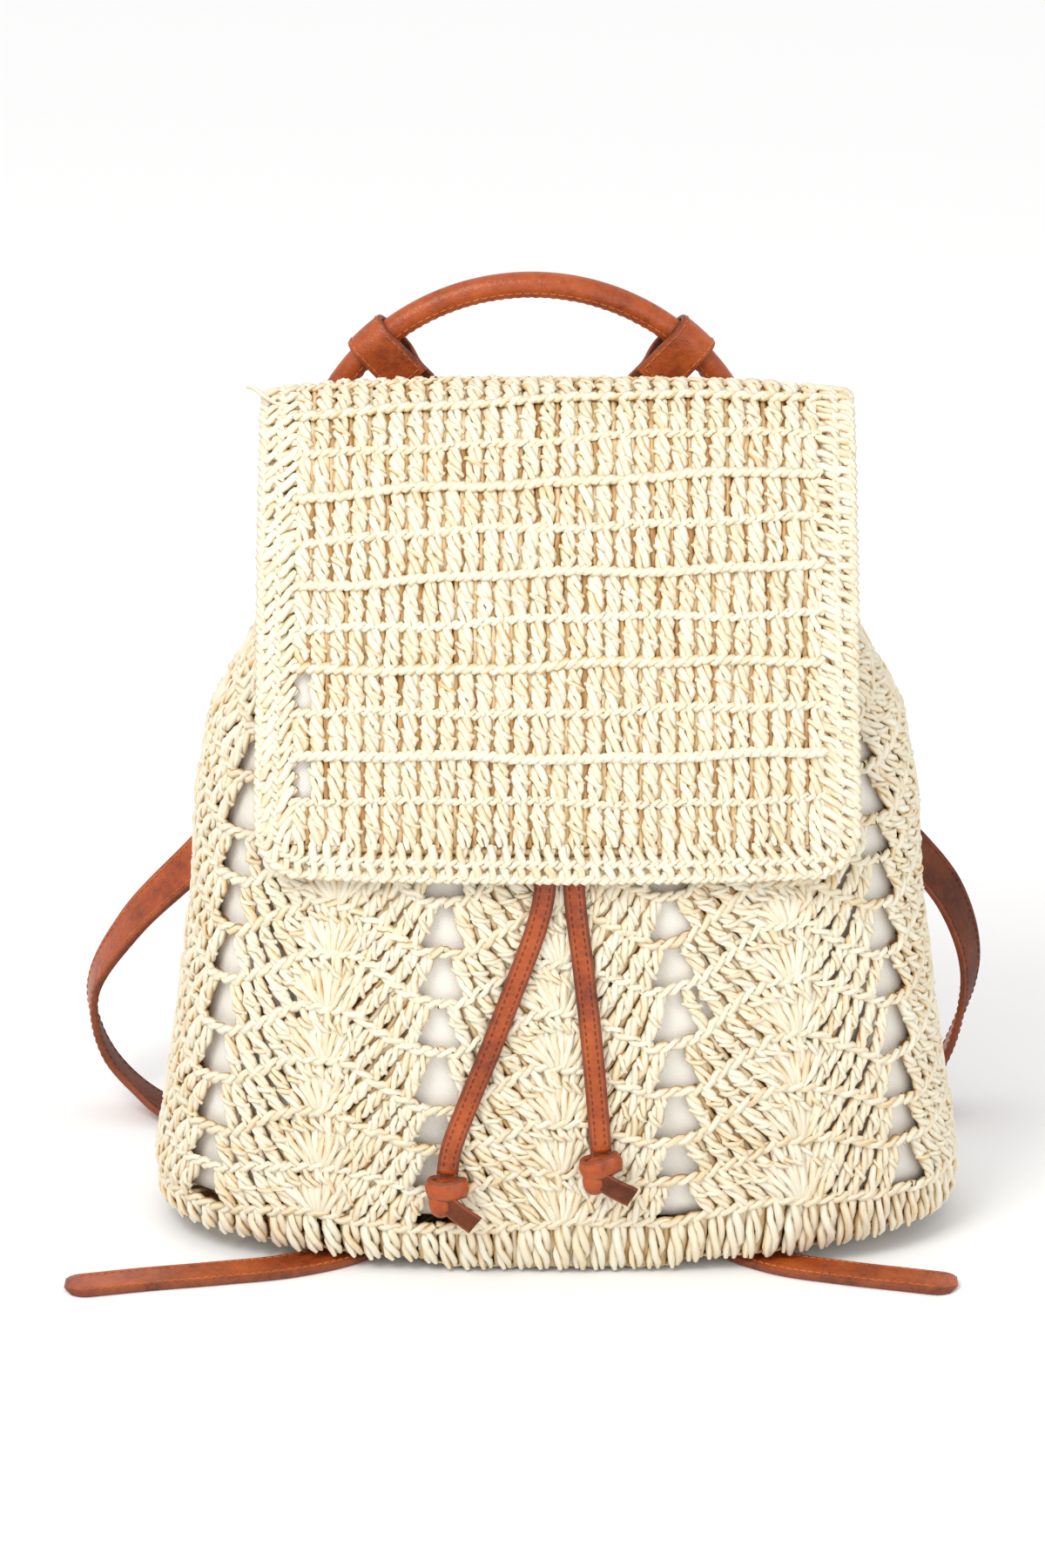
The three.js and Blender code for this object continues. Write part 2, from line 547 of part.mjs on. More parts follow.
// A tab folded round the handle. Its side view is drawn in (distance from the handle, depth)
// and extruded across its width.
const TAB_ANGLE = 47; // degrees above level, seen from the arc's centre
const WRAP_STEPS = 8;
const TAB_SINK = 0.2; // how much nearer the lap a layer's end lies than its middle
const TAB_LEAVES_WRAP = { out: 1.6, back: 0.82 }; // as shares of the wrap's radius
const TAB_LAYERS_MEET = 0.85; // where the layers lie flat on each other, as a share of the fold's length
const TAB_STEP_DOWN = { past: 4, share: 0.84 }; // past the front layer's end, and as a share of the tab
function handleTab(side) {
  const wrap = HANDLE_DIAMETER / 2 + SEAM_GAP + TAB_WALL / 2;
  const sewnDepth = lapOuter(HANDLE_CENTRE_HEIGHT) + SEAM_GAP + TAB_WALL / 2 - handleCentreDepth();
  const foldDepth = sewnDepth - TAB_SINK;
  const line = [new THREE.Vector2(TAB_FOLD_LENGTH, foldDepth), new THREE.Vector2(wrap, -wrap)];
  for (let i = 0; i <= WRAP_STEPS; i += 1) {
    const turn = -Math.PI / 2 - (i / WRAP_STEPS) * Math.PI;
    line.push(new THREE.Vector2(wrap * Math.cos(turn), wrap * Math.sin(turn)));
  }
  const behind = foldDepth + TAB_WALL + SEAM_GAP;
  line.push(new THREE.Vector2(wrap * TAB_LEAVES_WRAP.out, wrap * TAB_LEAVES_WRAP.back));
  line.push(new THREE.Vector2(TAB_FOLD_LENGTH * TAB_LAYERS_MEET, behind + SEAM_GAP));
  line.push(new THREE.Vector2(TAB_FOLD_LENGTH + TAB_STEP_DOWN.past, behind));
  line.push(new THREE.Vector2(TAB_LENGTH * TAB_STEP_DOWN.share, sewnDepth + TAB_SINK));
  line.push(new THREE.Vector2(TAB_LENGTH, sewnDepth));
  const outline = [];
  const normalAt = (i) => {
    const before = line[Math.max(0, i - 1)];
    const after = line[Math.min(line.length - 1, i + 1)];
    const along = after.clone().sub(before).normalize();
    return new THREE.Vector2(-along.y, along.x);
  };
  line.forEach((p, i) => outline.push(p.clone().addScaledVector(normalAt(i), TAB_WALL / 2)));
  for (let i = line.length - 1; i >= 0; i -= 1) {
    outline.push(line[i].clone().addScaledVector(normalAt(i), -TAB_WALL / 2));
  }
  const sideView = new THREE.Shape(outline);
  const strip = new THREE.ExtrudeGeometry(sideView, { depth: TAB_WIDTH, bevelEnabled: false });
  strip.translate(0, 0, -TAB_WIDTH / 2);
  const angle = THREE.MathUtils.degToRad(TAB_ANGLE);
  const inwards = new THREE.Vector3(-side * Math.cos(angle), 0, -Math.sin(angle));
  const depthWise = new THREE.Vector3(0, 1, 0);
  const across = new THREE.Vector3().crossVectors(inwards, depthWise);
  strip.applyMatrix4(new THREE.Matrix4().makeBasis(inwards, depthWise, across));
  strip.translate(
    HANDLE_SHIFT + side * HANDLE_RADIUS * Math.cos(angle),
    handleCentreDepth(),
    HANDLE_CENTRE_HEIGHT + HANDLE_RADIUS * Math.sin(angle),
  );
  return strip;
}

// The patch on the lap that the tabs and the straps' upper ends are sewn under.
const BACK_PATCH_GRID = { columns: 4, rows: 6 };
function backPatch() {
  const rise = STRAP_WALL + SEAM_GAP * 2 + BACK_PATCH_EASE;
  const low = HANDLE_CENTRE_HEIGHT - BACK_PATCH_HEIGHT / 2;
  const { places, triangles } = grid(BACK_PATCH_GRID.columns, BACK_PATCH_GRID.rows, false, (i, j) => ({
    x: i * 2 - 1,
    z: low + BACK_PATCH_HEIGHT * j,
  }));
  return thickSheet(places, triangles, ({ x, z }, face) => {
    const y = lapOuter(Math.max(z, LAP_LOW * FLAP_CREST)) + rise + (face ? PATCH_WALL : 0);
    return new THREE.Vector3(HANDLE_SHIFT + (x * BACK_PATCH_WIDTH) / 2, y, z);
  });
}

// The patch at a lower back corner that a strap's end and its tail are sewn under.
const CORNER_PATCH_GRID = { columns: 6, rows: 3 };
function cornerPatch(side) {
  const rise = STRAP_WALL + SEAM_GAP * 2 + CORNER_PATCH_EASE;
  const middle = CORNER_PATCH_SHARE * HALF_WIDTH;
  const top = baseUnderside(middle, 1) + STRAW_WALL + WALL_RUN + CORNER_PATCH_OVERLAP;
  const low = top - CORNER_PATCH_HEIGHT;
  const { places, triangles } = grid(CORNER_PATCH_GRID.columns, CORNER_PATCH_GRID.rows, false, (i, j) => ({
    x: side * (middle + (i - 0.5) * CORNER_PATCH_WIDTH),
    z: low + CORNER_PATCH_HEIGHT * j,
  }));
  return thickSheet(places, triangles, ({ x, z }, face) => {
    return new THREE.Vector3(x, backSurface(x, z) + rise + (face ? PATCH_WALL : 0), z);
  });
}

// One level ring of a flat strap: its middle, its direction, its width's direction, and at a tip how much
// narrower it is and how far past the middle it lies, as shares of half the strap's width.
function strapRing(middle, tangent, width, narrow, past) {
  const across = width.clone().addScaledVector(tangent, -width.dot(tangent)).normalize();
  const normal = new THREE.Vector3().crossVectors(tangent, across);
  const half = (STRAP_WIDTH / 2) * narrow;
  const corners = [
    [-half, -STRAP_WALL / 2],
    [half, -STRAP_WALL / 2],
    [half, STRAP_WALL / 2],
    [-half, STRAP_WALL / 2],
  ];
  return corners.map(([w, n]) => {
    return middle
      .clone()
      .addScaledVector(tangent, (past * STRAP_WIDTH) / 2)
      .addScaledVector(across, w)
      .addScaledVector(normal, n);
  });
}

// Rings of a strap through a route's rows, each with its middle and its width's direction.
const STRAP_STEPS_PER_ROW = 3;
function strapRings(rows) {
  const centre = new THREE.CatmullRomCurve3(rows.map((row) => row.at), false, "centripetal");
  const width = new THREE.CatmullRomCurve3(rows.map((row) => row.width), false, "centripetal");
  const steps = (rows.length - 1) * STRAP_STEPS_PER_ROW;
  const rings = [];
  for (let i = 0; i <= steps; i += 1) {
    const t = i / steps;
    rings.push(strapRing(centre.getPoint(t), centre.getTangent(t), width.getPoint(t), 1, 0));
  }
  return rings;
}

// A shoulder strap's route on one side, seen from behind: out is a share of the half width, behind a share
// of the half depth beyond the back, up a share of the body's height, and turn the width's turn out of the
// frontal plane, in quarter turns.
const SHOULDER_LEFT = [
  { out: 0.06, behind: 0, up: 0.903, turn: 0 },
  { out: 0.13, behind: 0, up: 0.84, turn: 0.02 },
  { out: 0.29, behind: 0.06, up: 0.76, turn: 0.1 },
  { out: 0.47, behind: 0.25, up: 0.625, turn: 0.25 },
  { out: 0.68, behind: 0.42, up: 0.49, turn: 0.4 },
  { out: 0.905, behind: 0.53, up: 0.36, turn: 0.55 },
  { out: 1.09, behind: 0.58, up: 0.255, turn: 0.72 },
  { out: 1.185, behind: 0.6, up: 0.162, turn: 0.9 },
  { out: 1.15, behind: 0.57, up: 0.078, turn: 1 },
  { out: 1.04, behind: 0.46, up: 0.024, turn: 1 },
];
const SHOULDER_RIGHT = [
  { out: 0.06, behind: 0, up: 0.903, turn: 0 },
  { out: 0.14, behind: 0, up: 0.84, turn: 0.02 },
  { out: 0.33, behind: 0.06, up: 0.765, turn: 0.1 },
  { out: 0.52, behind: 0.25, up: 0.63, turn: 0.25 },
  { out: 0.7, behind: 0.4, up: 0.5, turn: 0.4 },
  { out: 0.865, behind: 0.5, up: 0.395, turn: 0.5 },
  { out: 1.005, behind: 0.56, up: 0.3, turn: 0.6 },
  { out: 1.06, behind: 0.58, up: 0.2, turn: 0.75 },
  { out: 1.02, behind: 0.58, up: 0.1, turn: 0.95 },
  { out: 0.95, behind: 0.5, up: 0.03, turn: 1 },
];

// The places where straps go up the wall under a corner patch.
const WALL_RUN = 26; // how far they reach up it
const SLOPE_HEIGHT = 10; // above the wall's foot, where the wall's slope is taken
const WALL_BOW = 0.6; // how far a strap lies off the wall, beyond the seam's gap
function wallFoot(side, fromMiddle) {
  const x = CORNER_PATCH_SHARE * HALF_WIDTH + fromMiddle;
  const inner = x - STRAP_WIDTH / 2;
  const outer = x + STRAP_WIDTH / 2;
  const lower = baseUnderside(x, 1) + STRAW_WALL;
  const taken = lower + SLOPE_HEIGHT;
  const slope = (backSurface(outer, taken) - backSurface(inner, taken)) / STRAP_WIDTH;
  const depth = (z, bow) => backSurface(x, z) + SEAM_GAP + STRAP_WALL / 2 + bow;
  return {
    lower,
    width: new THREE.Vector3(side, slope, 0),
    at: (z, bow) => new THREE.Vector3(side * x, depth(z, bow), z),
  };
}

// Where a shoulder strap lies on the floor: outwards from the foot of the wall, behind it and above
// the floor.
const STRAP_FLOOR_ROWS = [
  { outwards: 31, back: 26, up: 0.7 },
  { outwards: 15, back: 12.5, up: 0.9 },
];
const STRAP_FLOOR_LEAN = 1.14; // of its width backwards, for each mm outwards
// How it turns up against the wall: height above the wall's foot and distance it bows away from the wall.
const STRAP_WALL_ROWS = [
  { up: 2, bow: 2.4 },
  { up: 8, bow: WALL_BOW },
  { up: WALL_RUN, bow: WALL_BOW },
];

function shoulderStrap(side, route) {
  const deep = tableAt(SECTIONS, "back", 0.3) * HALF_DEPTH;
  const at = route.map(({ out, behind, up }, i) => {
    const shift = side * HANDLE_SHIFT * (1 - smooth(0, 0.5, i / (route.length - 1)));
    const z = up * BODY_HEIGHT;
    const onLap = lapOuter(Math.max(z, LAP_LOW * FLAP_CREST)) + SEAM_GAP * 4 + STRAP_WALL / 2;
    const depth = lerp(onLap, deep, smooth(0.2, 0.5, i / (route.length - 1)));
    return new THREE.Vector3(side * (out * HALF_WIDTH + shift), depth + behind * HALF_DEPTH, z);
  });
  const rows = at.map((p, i) => {
    const along = (at[i + 1] ?? p).clone().sub(at[i - 1] ?? p).setY(0).normalize();
    const inPlane = new THREE.Vector3(-along.z * side, 0, along.x * side);
    const quarter = (route[i].turn * Math.PI) / 2;
    const width = inPlane.multiplyScalar(Math.cos(quarter)).setY(Math.sin(quarter));
    return { at: p, width };
  });
  // From the floor the strap turns up against the wall and ends under the corner patch.
  const foot = wallFoot(side, CORNER_PATCH_WIDTH / 4);
  const wall = foot.at(foot.lower, 0);
  for (const { outwards, back, up } of STRAP_FLOOR_ROWS) {
    const place = new THREE.Vector3(side * outwards, back, 0).add(wall);
    rows.push({ at: place.setZ(STRAP_WALL / 2 + up), width: new THREE.Vector3(-side, STRAP_FLOOR_LEAN, 0) });
  }
  const wallWidth = foot.width.clone().negate();
  for (const { up, bow } of STRAP_WALL_ROWS) {
    rows.push({ at: foot.at(foot.lower + up, bow), width: wallWidth });
  }
  return loft(strapRings(rows));
}

// A strap's tail: down from the corner patch, under the base beside its flat stretch, and out in front.
// out is a share of the half width, ahead of the half depth towards the front.
const TAIL_LEFT = [
  { out: 0.505, ahead: -0.62 },
  { out: 0.44, ahead: -0.3 },
  { out: 0.405, ahead: 0.02 },
  { out: 0.42, ahead: 0.36 },
  { out: 0.51, ahead: 0.66 },
  { out: 0.66, ahead: 0.86 },
  { out: 0.84, ahead: 0.965 },
  { out: 1.02, ahead: 1.05 },
  { out: 1.16, ahead: 1.13 },
];
const TAIL_RIGHT = [
  { out: 0.49, ahead: -0.62 },
  { out: 0.415, ahead: -0.3 },
  { out: 0.375, ahead: 0.02 },
  { out: 0.385, ahead: 0.34 },
  { out: 0.45, ahead: 0.62 },
  { out: 0.56, ahead: 0.83 },
  { out: 0.7, ahead: 0.95 },
  { out: 0.84, ahead: 1.04 },
  { out: 0.935, ahead: 1.1 },
];
// The tail's rounded tip: distance past the route's last row and width, as shares of half the strap's width.
const TIP = [
  { past: 0, narrow: 1 },
  { past: 0.45, narrow: 0.93 },
  { past: 0.75, narrow: 0.78 },
  { past: 0.95, narrow: 0.5 },
];

// The tail's start: how far below the wall's foot and off the wall it bends, how far under the wall its
// first places on the floor lie, and how much the first of them is raised.
const TAIL_BEND = { down: 1, bow: 1.4 };
const TAIL_TUCK = { first: 2, second: 14, raised: 0.1 };

function strapTail(side, route) {
  const floor = STRAP_WALL / 2;
  const at = route.map(({ out, ahead }) => {
    return new THREE.Vector3(side * out * HALF_WIDTH, -ahead * HALF_DEPTH, floor);
  });
  const rows = at.map((p, i) => {
    const along = (at[i + 1] ?? p).clone().sub(at[i - 1] ?? p).normalize();
    return { at: p, width: new THREE.Vector3(-along.y, along.x, 0) };
  });
  const foot = wallFoot(side, -CORNER_PATCH_WIDTH / 4);
  const start = [
    { at: foot.at(foot.lower + WALL_RUN, WALL_BOW), width: foot.width },
    { at: foot.at(foot.lower + WALL_RUN / 2, WALL_BOW), width: foot.width },
    { at: foot.at(foot.lower - TAIL_BEND.down, TAIL_BEND.bow), width: foot.width },
    { at: foot.at(floor + TAIL_TUCK.raised, -TAIL_TUCK.first), width: foot.width },
    { at: foot.at(floor, -TAIL_TUCK.second), width: foot.width },
  ];
  const rings = strapRings([...start, ...rows]);
  const last = rows[rows.length - 1];
  const ahead = last.at.clone().sub(rows[rows.length - 2].at).normalize();
  for (const { past, narrow } of TIP) rings.push(strapRing(last.at, ahead, last.width, narrow, past));
  return loft(rings);
}

// The drawstring round the neck, with its ends apart at the front.
function drawstring() {
  const middle = (CHANNEL_LOW + CHANNEL_HIGH) / 2;
  const neck = bodyPoint(0, middle, 0);
  const firstRound = DRAWSTRING_HALF_GAP / (-neck.y * 2 + sectionAt(middle).wide * 4);
  const { places, triangles } = grid(COLUMNS, 1, false, (i, j) => {
    const onColumn = columnRound(Math.round(i * COLUMNS));
    const round = THREE.MathUtils.clamp(onColumn, firstRound, 1 - firstRound);
    return { round, z: middle + (j - 0.5) * LACE_WIDTH };
  });
  return thickSheet(places, triangles, (p, face) => {
    return bodyPoint(p.round, p.z, SEAM_GAP + (face ? LACE_WALL : 0));
  });
}

// The laces' routes, from the drawstring down over the front to the knots, as points chosen by hand
// for a body of this height.
const LACE_BODY_HEIGHT = 310;
const LACE_LEFT_POINTS = [
  [-5.4, -25, 283.4],
  [-5.6, -32.4, 270],
  [-5.6, -43, 248],
  [-5.5, -49.3, 231.7],
  [-5.4, -55.1, 215],
  [-5.2, -59, 202.4],
  [-5, -62.3, 190],
  [-4.6, -65.7, 176.3],
  [-5, -68.6, 163],
  [-7.3, -70.7, 152.3],
  [-10.6, -72.4, 142],
  [-18.8, -75.2, 120],
  [-27, -76.3, 97.6],
  [-35, -75.6, 76.6],
  [-41.6, -74.5, 57],
  [-43.2, -74.3, 46.6],
];
const LACE_RIGHT_POINTS = [
  [5.4, -25, 283.4],
  [5.6, -32.4, 270],
  [5.8, -43, 248],
  [5.9, -49.3, 231.7],
  [6, -55.1, 215],
  [6.1, -59, 202.4],
  [6.2, -62.3, 190],
  [6.2, -65.6, 176.6],
  [6.6, -68.6, 163],
  [8, -71.1, 149.5],
  [9.8, -73.2, 136],
  [11.3, -74.8, 122.7],
  [12.8, -75.9, 109.5],
  [15.2, -76.2, 83],
  [16.8, -75, 62],
  [17.2, -74.6, 56.4],
];
const LACE_STEPS = 13;
const LACE_EDGE = { wide: 0.8, deep: 0.5 }; // where its rounded edges start, as shares of its half sizes
const lacePoint = ([x, y, z]) => new THREE.Vector3(x, y, (z * BODY_HEIGHT) / LACE_BODY_HEIGHT);
function lace(points) {
  const path = new THREE.CatmullRomCurve3(points.map(lacePoint), false, "centripetal");
  const [w, t] = [LACE_WIDTH / 2, LACE_WALL / 2];
  const section = new THREE.Shape(
    [
      [-w, -t * LACE_EDGE.deep],
      [-w * LACE_EDGE.wide, -t],
      [w * LACE_EDGE.wide, -t],
      [w, -t * LACE_EDGE.deep],
      [w, t * LACE_EDGE.deep],
      [w * LACE_EDGE.wide, t],
      [-w * LACE_EDGE.wide, t],
      [-w, t * LACE_EDGE.deep],
    ].map(([x, y]) => new THREE.Vector2(x, y)),
  );
  return new THREE.ExtrudeGeometry(section, { steps: LACE_STEPS, extrudePath: path, bevelEnabled: false });
}

// A knot at a lace's end: the turn across it, the lobe under that and the stub that sticks out.
const KNOT_TURN = { width: 16.5, height: 9, depth: 9 };
const KNOT_LOBE = { width: 9.5, height: 12, depth: 6.5, x: -2.2 };
const KNOT_STUB = { width: 20, height: LACE_WIDTH, depth: LACE_WALL * 1.4, x: 6.5 };
const KNOT_LOWER_SHARE = 0.72; // how far the lobe and the stub lie under the turn, as a share of its height
const KNOT_LOBE_FORWARDS = 0.6; // how far forwards the lobe and the stub lie, as shares of the turn's
const KNOT_STUB_FORWARDS = 0.55;
const KNOT_RINGS = 4;
const KNOT_SIDES = 8;
const KNOT_EDGE_POWER = 0.7; // makes a knot's sections squarer than ovals
const KNOT_END_POWER = 6; // how late its parts thin out towards their ends
const KNOT_END_THINNING = 0.75;

// A block with rounded edges whose long side runs along X.
function softBlock(length, height, depth) {
  const rings = [];
  for (let r = 0; r <= KNOT_RINGS; r += 1) {
    const along = (r / KNOT_RINGS) * 2 - 1;
    const full = Math.sqrt(1 - KNOT_END_THINNING * Math.abs(along) ** KNOT_END_POWER);
    rings.push(
      Array.from({ length: KNOT_SIDES }, (_, i) => {
        const turn = (i / KNOT_SIDES) * Math.PI * 2;
        const rounded = (value) => Math.sign(value) * Math.abs(value) ** KNOT_EDGE_POWER;
        return new THREE.Vector3(
          (along * length) / 2,
          ((rounded(Math.cos(turn)) * depth) / 2) * full,
          ((rounded(Math.sin(turn)) * height) / 2) * full,
        );
      }),
    );
  }
  return loft(rings);
}

// One part of a knot: turned by degrees in the frontal plane, then moved from the lace's end
// by x, forwards and down.
function knotPart(size, end, { degrees, x, forwards, down }) {
  const block = softBlock(size.width, size.height, size.depth);
  block.rotateY(THREE.MathUtils.degToRad(-degrees));
  return block.translate(end.x + x, end.y - forwards, end.z - down);
}

// A knot's tilts in the frontal plane, in degrees.
const KNOT_LEFT_TILTS = { turn: 0, stub: -38 };
const KNOT_RIGHT_TILTS = { turn: 14, stub: -28 };
function knot(endPoint, tilts) {
  const end = lacePoint(endPoint);
  const forwards = (KNOT_TURN.depth - LACE_WALL) / 2;
  const tiltDrop = (Math.abs(Math.sin(THREE.MathUtils.degToRad(tilts.turn))) * LACE_WIDTH) / 2;
  const middle = SEAM_GAP + KNOT_TURN.height / 2 + tiltDrop;
  const lower = middle + KNOT_TURN.height * KNOT_LOWER_SHARE;
  const turn = { degrees: tilts.turn, x: 0, forwards, down: middle };
  const lobe = { degrees: 0, x: KNOT_LOBE.x, forwards: forwards * KNOT_LOBE_FORWARDS, down: lower };
  const stub = { degrees: tilts.stub, x: KNOT_STUB.x, forwards: forwards * KNOT_STUB_FORWARDS, down: lower };
  return joined([
    knotPart(KNOT_TURN, end, turn),
    knotPart(KNOT_LOBE, end, lobe),
    knotPart(KNOT_STUB, end, stub),
  ]);
}

function material(name, color, roughness) {
  return new THREE.MeshStandardMaterial({ name, color, roughness, metalness: 0 });
}
const STRAW = material("straw", 0xe9dcb4, 0.75);
const LINING_CLOTH = material("lining_cloth", 0xd9d6c8, 0.9);
const LEATHER = material("leather", 0x9a4a26, 0.5);

const backpack = new THREE.Group();
function addPiece(name, geometry, material) {
  const mesh = new THREE.Mesh(geometry, material);
  mesh.name = name;
  backpack.add(mesh);
}

addPiece("body_wall", bodyWall(), STRAW);
addPiece("base_panel", basePanel(), STRAW);
addPiece("lining", liningBag(), LINING_CLOTH);
addPiece("flap", flapSheet(FLAP_LINING_WALL + SEAM_GAP, FLAP_WALL), STRAW);
addPiece("flap_lining", flapSheet(0, FLAP_LINING_WALL), LINING_CLOTH);
addPiece("handle", handle(), LEATHER);
addPiece("handle_tab_left", handleTab(-1), LEATHER);
addPiece("handle_tab_right", handleTab(1), LEATHER);
addPiece("back_patch", backPatch(), LEATHER);
addPiece("shoulder_strap_left", shoulderStrap(-1, SHOULDER_LEFT), LEATHER);
addPiece("shoulder_strap_right", shoulderStrap(1, SHOULDER_RIGHT), LEATHER);
addPiece("corner_patch_left", cornerPatch(-1), LEATHER);
addPiece("corner_patch_right", cornerPatch(1), LEATHER);
addPiece("strap_tail_left", strapTail(-1, TAIL_LEFT), LEATHER);
addPiece("strap_tail_right", strapTail(1, TAIL_RIGHT), LEATHER);
addPiece("drawstring", drawstring(), LEATHER);
addPiece("lace_left", lace(LACE_LEFT_POINTS), LEATHER);
addPiece("lace_right", lace(LACE_RIGHT_POINTS), LEATHER);
addPiece("knot_left", knot(LACE_LEFT_POINTS.at(-1), KNOT_LEFT_TILTS), LEATHER);
addPiece("knot_right", knot(LACE_RIGHT_POINTS.at(-1), KNOT_RIGHT_TILTS), LEATHER);

export default backpack;
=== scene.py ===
"""The looks of the crocheted straw backpack: straw yarn stitch by stitch, cloth lining, stitched leather,
knotted laces, a pale floor, soft light and the camera. Shapes are worked out in millimetres and
made in metres. They follow the same sizes as the part's source."""

import math

import bpy
import numpy as np
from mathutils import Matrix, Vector


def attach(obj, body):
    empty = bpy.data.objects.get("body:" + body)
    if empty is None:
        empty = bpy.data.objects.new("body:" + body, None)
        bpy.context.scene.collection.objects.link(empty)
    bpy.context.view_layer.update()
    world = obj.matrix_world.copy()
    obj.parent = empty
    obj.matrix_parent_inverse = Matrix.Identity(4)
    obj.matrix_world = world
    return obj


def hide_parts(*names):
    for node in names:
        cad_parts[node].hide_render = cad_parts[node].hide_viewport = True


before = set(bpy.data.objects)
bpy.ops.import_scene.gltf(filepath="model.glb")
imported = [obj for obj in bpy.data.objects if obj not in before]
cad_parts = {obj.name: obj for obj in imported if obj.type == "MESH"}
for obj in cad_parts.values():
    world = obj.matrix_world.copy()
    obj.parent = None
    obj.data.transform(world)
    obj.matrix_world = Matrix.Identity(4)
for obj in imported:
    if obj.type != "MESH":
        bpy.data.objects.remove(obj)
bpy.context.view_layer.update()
random = np.random.default_rng(7)
MM = 0.001

# The body, as in the part's source
BODY_WIDTH = 320
BODY_DEPTH = 142
BODY_HEIGHT = 310
BODY_ROUNDNESS = 2.6
HALF_WIDTH = BODY_WIDTH / 2
HALF_DEPTH = BODY_DEPTH / 2
PERIODS = 8
RIDGE_RIPPLE = 17
RIDGE_SWAY = 11
STRAW_WALL = 3
CHANNEL_LOW = 282
CHANNEL_HIGH = 294
LINING_FLOOR_HEIGHT = 24
FLAT_HALF_WIDTH = 40
STRAP_DRAPE = 3.6
DRAPE_RUN = 9  # over which the base climbs onto the straps under it
RIM_DRAPE_RUN = 18  # the same at its rim
CORNER_LIFT = 5
FAN_FLAT = 0.1  # of a period from a fan, where a row starts to dip
GAP_FLAT = 0.42  # the same where the row is lowest

# Level sections: share of the body's height, then wide, front and back as shares of its half sizes
SECTIONS = np.array([
    (0.0, 0.95, 0.9, 0.9),
    (0.04, 0.985, 0.955, 0.955),
    (0.09, 1.0, 0.985, 0.97),
    (0.226, 0.957, 1.042, 0.958),
    (0.342, 0.928, 1.042, 0.93),
    (0.461, 0.9, 0.986, 0.901),
    (0.58, 0.889, 0.887, 0.873),
    (0.694, 0.85, 0.746, 0.845),
    (0.8, 0.735, 0.577, 0.789),
    (0.871, 0.655, 0.43, 0.725),
    (CHANNEL_LOW / BODY_HEIGHT, 0.61, 0.31, 0.662),
    (CHANNEL_HIGH / BODY_HEIGHT, 0.61, 0.31, 0.662),
    (1.0, 0.63, 0.31, 0.662),
])
# Rows of stitches: share of the body's height at a fan, then shares of the ripple and of the sway
ROWS = np.array([
    (0.074, 0.18, 0.7),
    (0.146, 0.5, 1),
    (0.219, 0.8, 1),
    (0.293, 1, 1),
    (0.365, 1, 1),
    (0.433, 1, 1),
    (0.498, 1, 0.9),
    (0.562, 1, 0.7),
    (0.626, 1, 0.5),
    (0.69, 1, 0.4),
    (0.754, 0.9, 0.3),
    (0.812, 0.65, 0.15),
    (0.862, 0.3, 0),
    (CHANNEL_LOW / BODY_HEIGHT, 0, 0),
    (CHANNEL_HIGH / BODY_HEIGHT, 0, 0),
    (1, 0, 0),
])
LAST_FAN_ROW = 12
CHANNEL_ROW = 13

# Straw yarn
YARN_RADIUS = 1.42
YARN_SIDES = 5
PLAIN_SIDES = 4  # of strands that show less
POST_STRANDS = 3
POST_SPREAD = 1.65  # of the strands from a post's middle
POST_FLATNESS = 0.62
POST_STEPS = 7
POST_LEAN = (0.7, 0.9)  # how far its foot lies out from its middle, and how much further in its head
POST_BOW = 0.35
STITCH_STEPS = 4  # of each stitch of a chain
STREAK_START = 400  # mm of streaks, within which each strand's own begin
ROPE_BELLY = (0.8, 0.28)  # a rope's spread at its ends, and how much wider it is at its middle
ROPE_TIP = 0.55  # share of a strand's radius left at a post's ends
WRAP_STEPS = 5
BACKING_KEPT = 0.93  # share of the backing strands that are made

# How much the handwork varies: shares of a size, or mm
UNEVENNESS = 0.2
TWIST_VARIES = 0.2
SPREAD_VARIES = 0.12
RADIUS_VARIES = 0.14
WRAP_VARIES = 0.09
POST_TURN_VARIES = 0.0009  # of a turn round the body
POST_DEPTH_VARIES = 0.3
FLAP_POST_VARIES = 0.5
FLAP_DEPTH_VARIES = 0.25
ROW_WAVES = ((5, 0.8), (13, 0.6), (29, 0.45))  # waves round the body in a row's height, and their mm

# The body's stitches
POSTS_PER_PERIOD = 17
FAN_POSTS = 3  # on each side of a fan's middle post
FAN_PITCH = 0.007  # of a period, between the feet of a fan's posts
FAN_FOOT_HALF_SHARE = 0.075  # of a period, half the foot of a fan
GAP_HALF_SHARE = 0.128  # of a period, half a gap's foot
GAP_HEAD_SHARE = 0.05  # the same at its head
ROW_DEPTH = -1.9  # of a post's middle, outside the body's surface
BACKING_DEPTH = 1.6  # of the backing strands behind the posts
RIM_BACKING_DEPTH = 1.4
RIM_POSTS = 25  # in a quarter of the body's foot
NECK_POSTS = 26
FAN_ROPE = {"turns": 0.8, "strands": 2, "radius": 1.6, "wrap": 0.72}
SIDE_ROPE = {"bow": -0.25, "turns": 1.05, "wrap": 0.5}
RIM_ROPE = {"turns": 0.6, "spread": 2.0, "radius": 1.62, "flatness": 0.75}

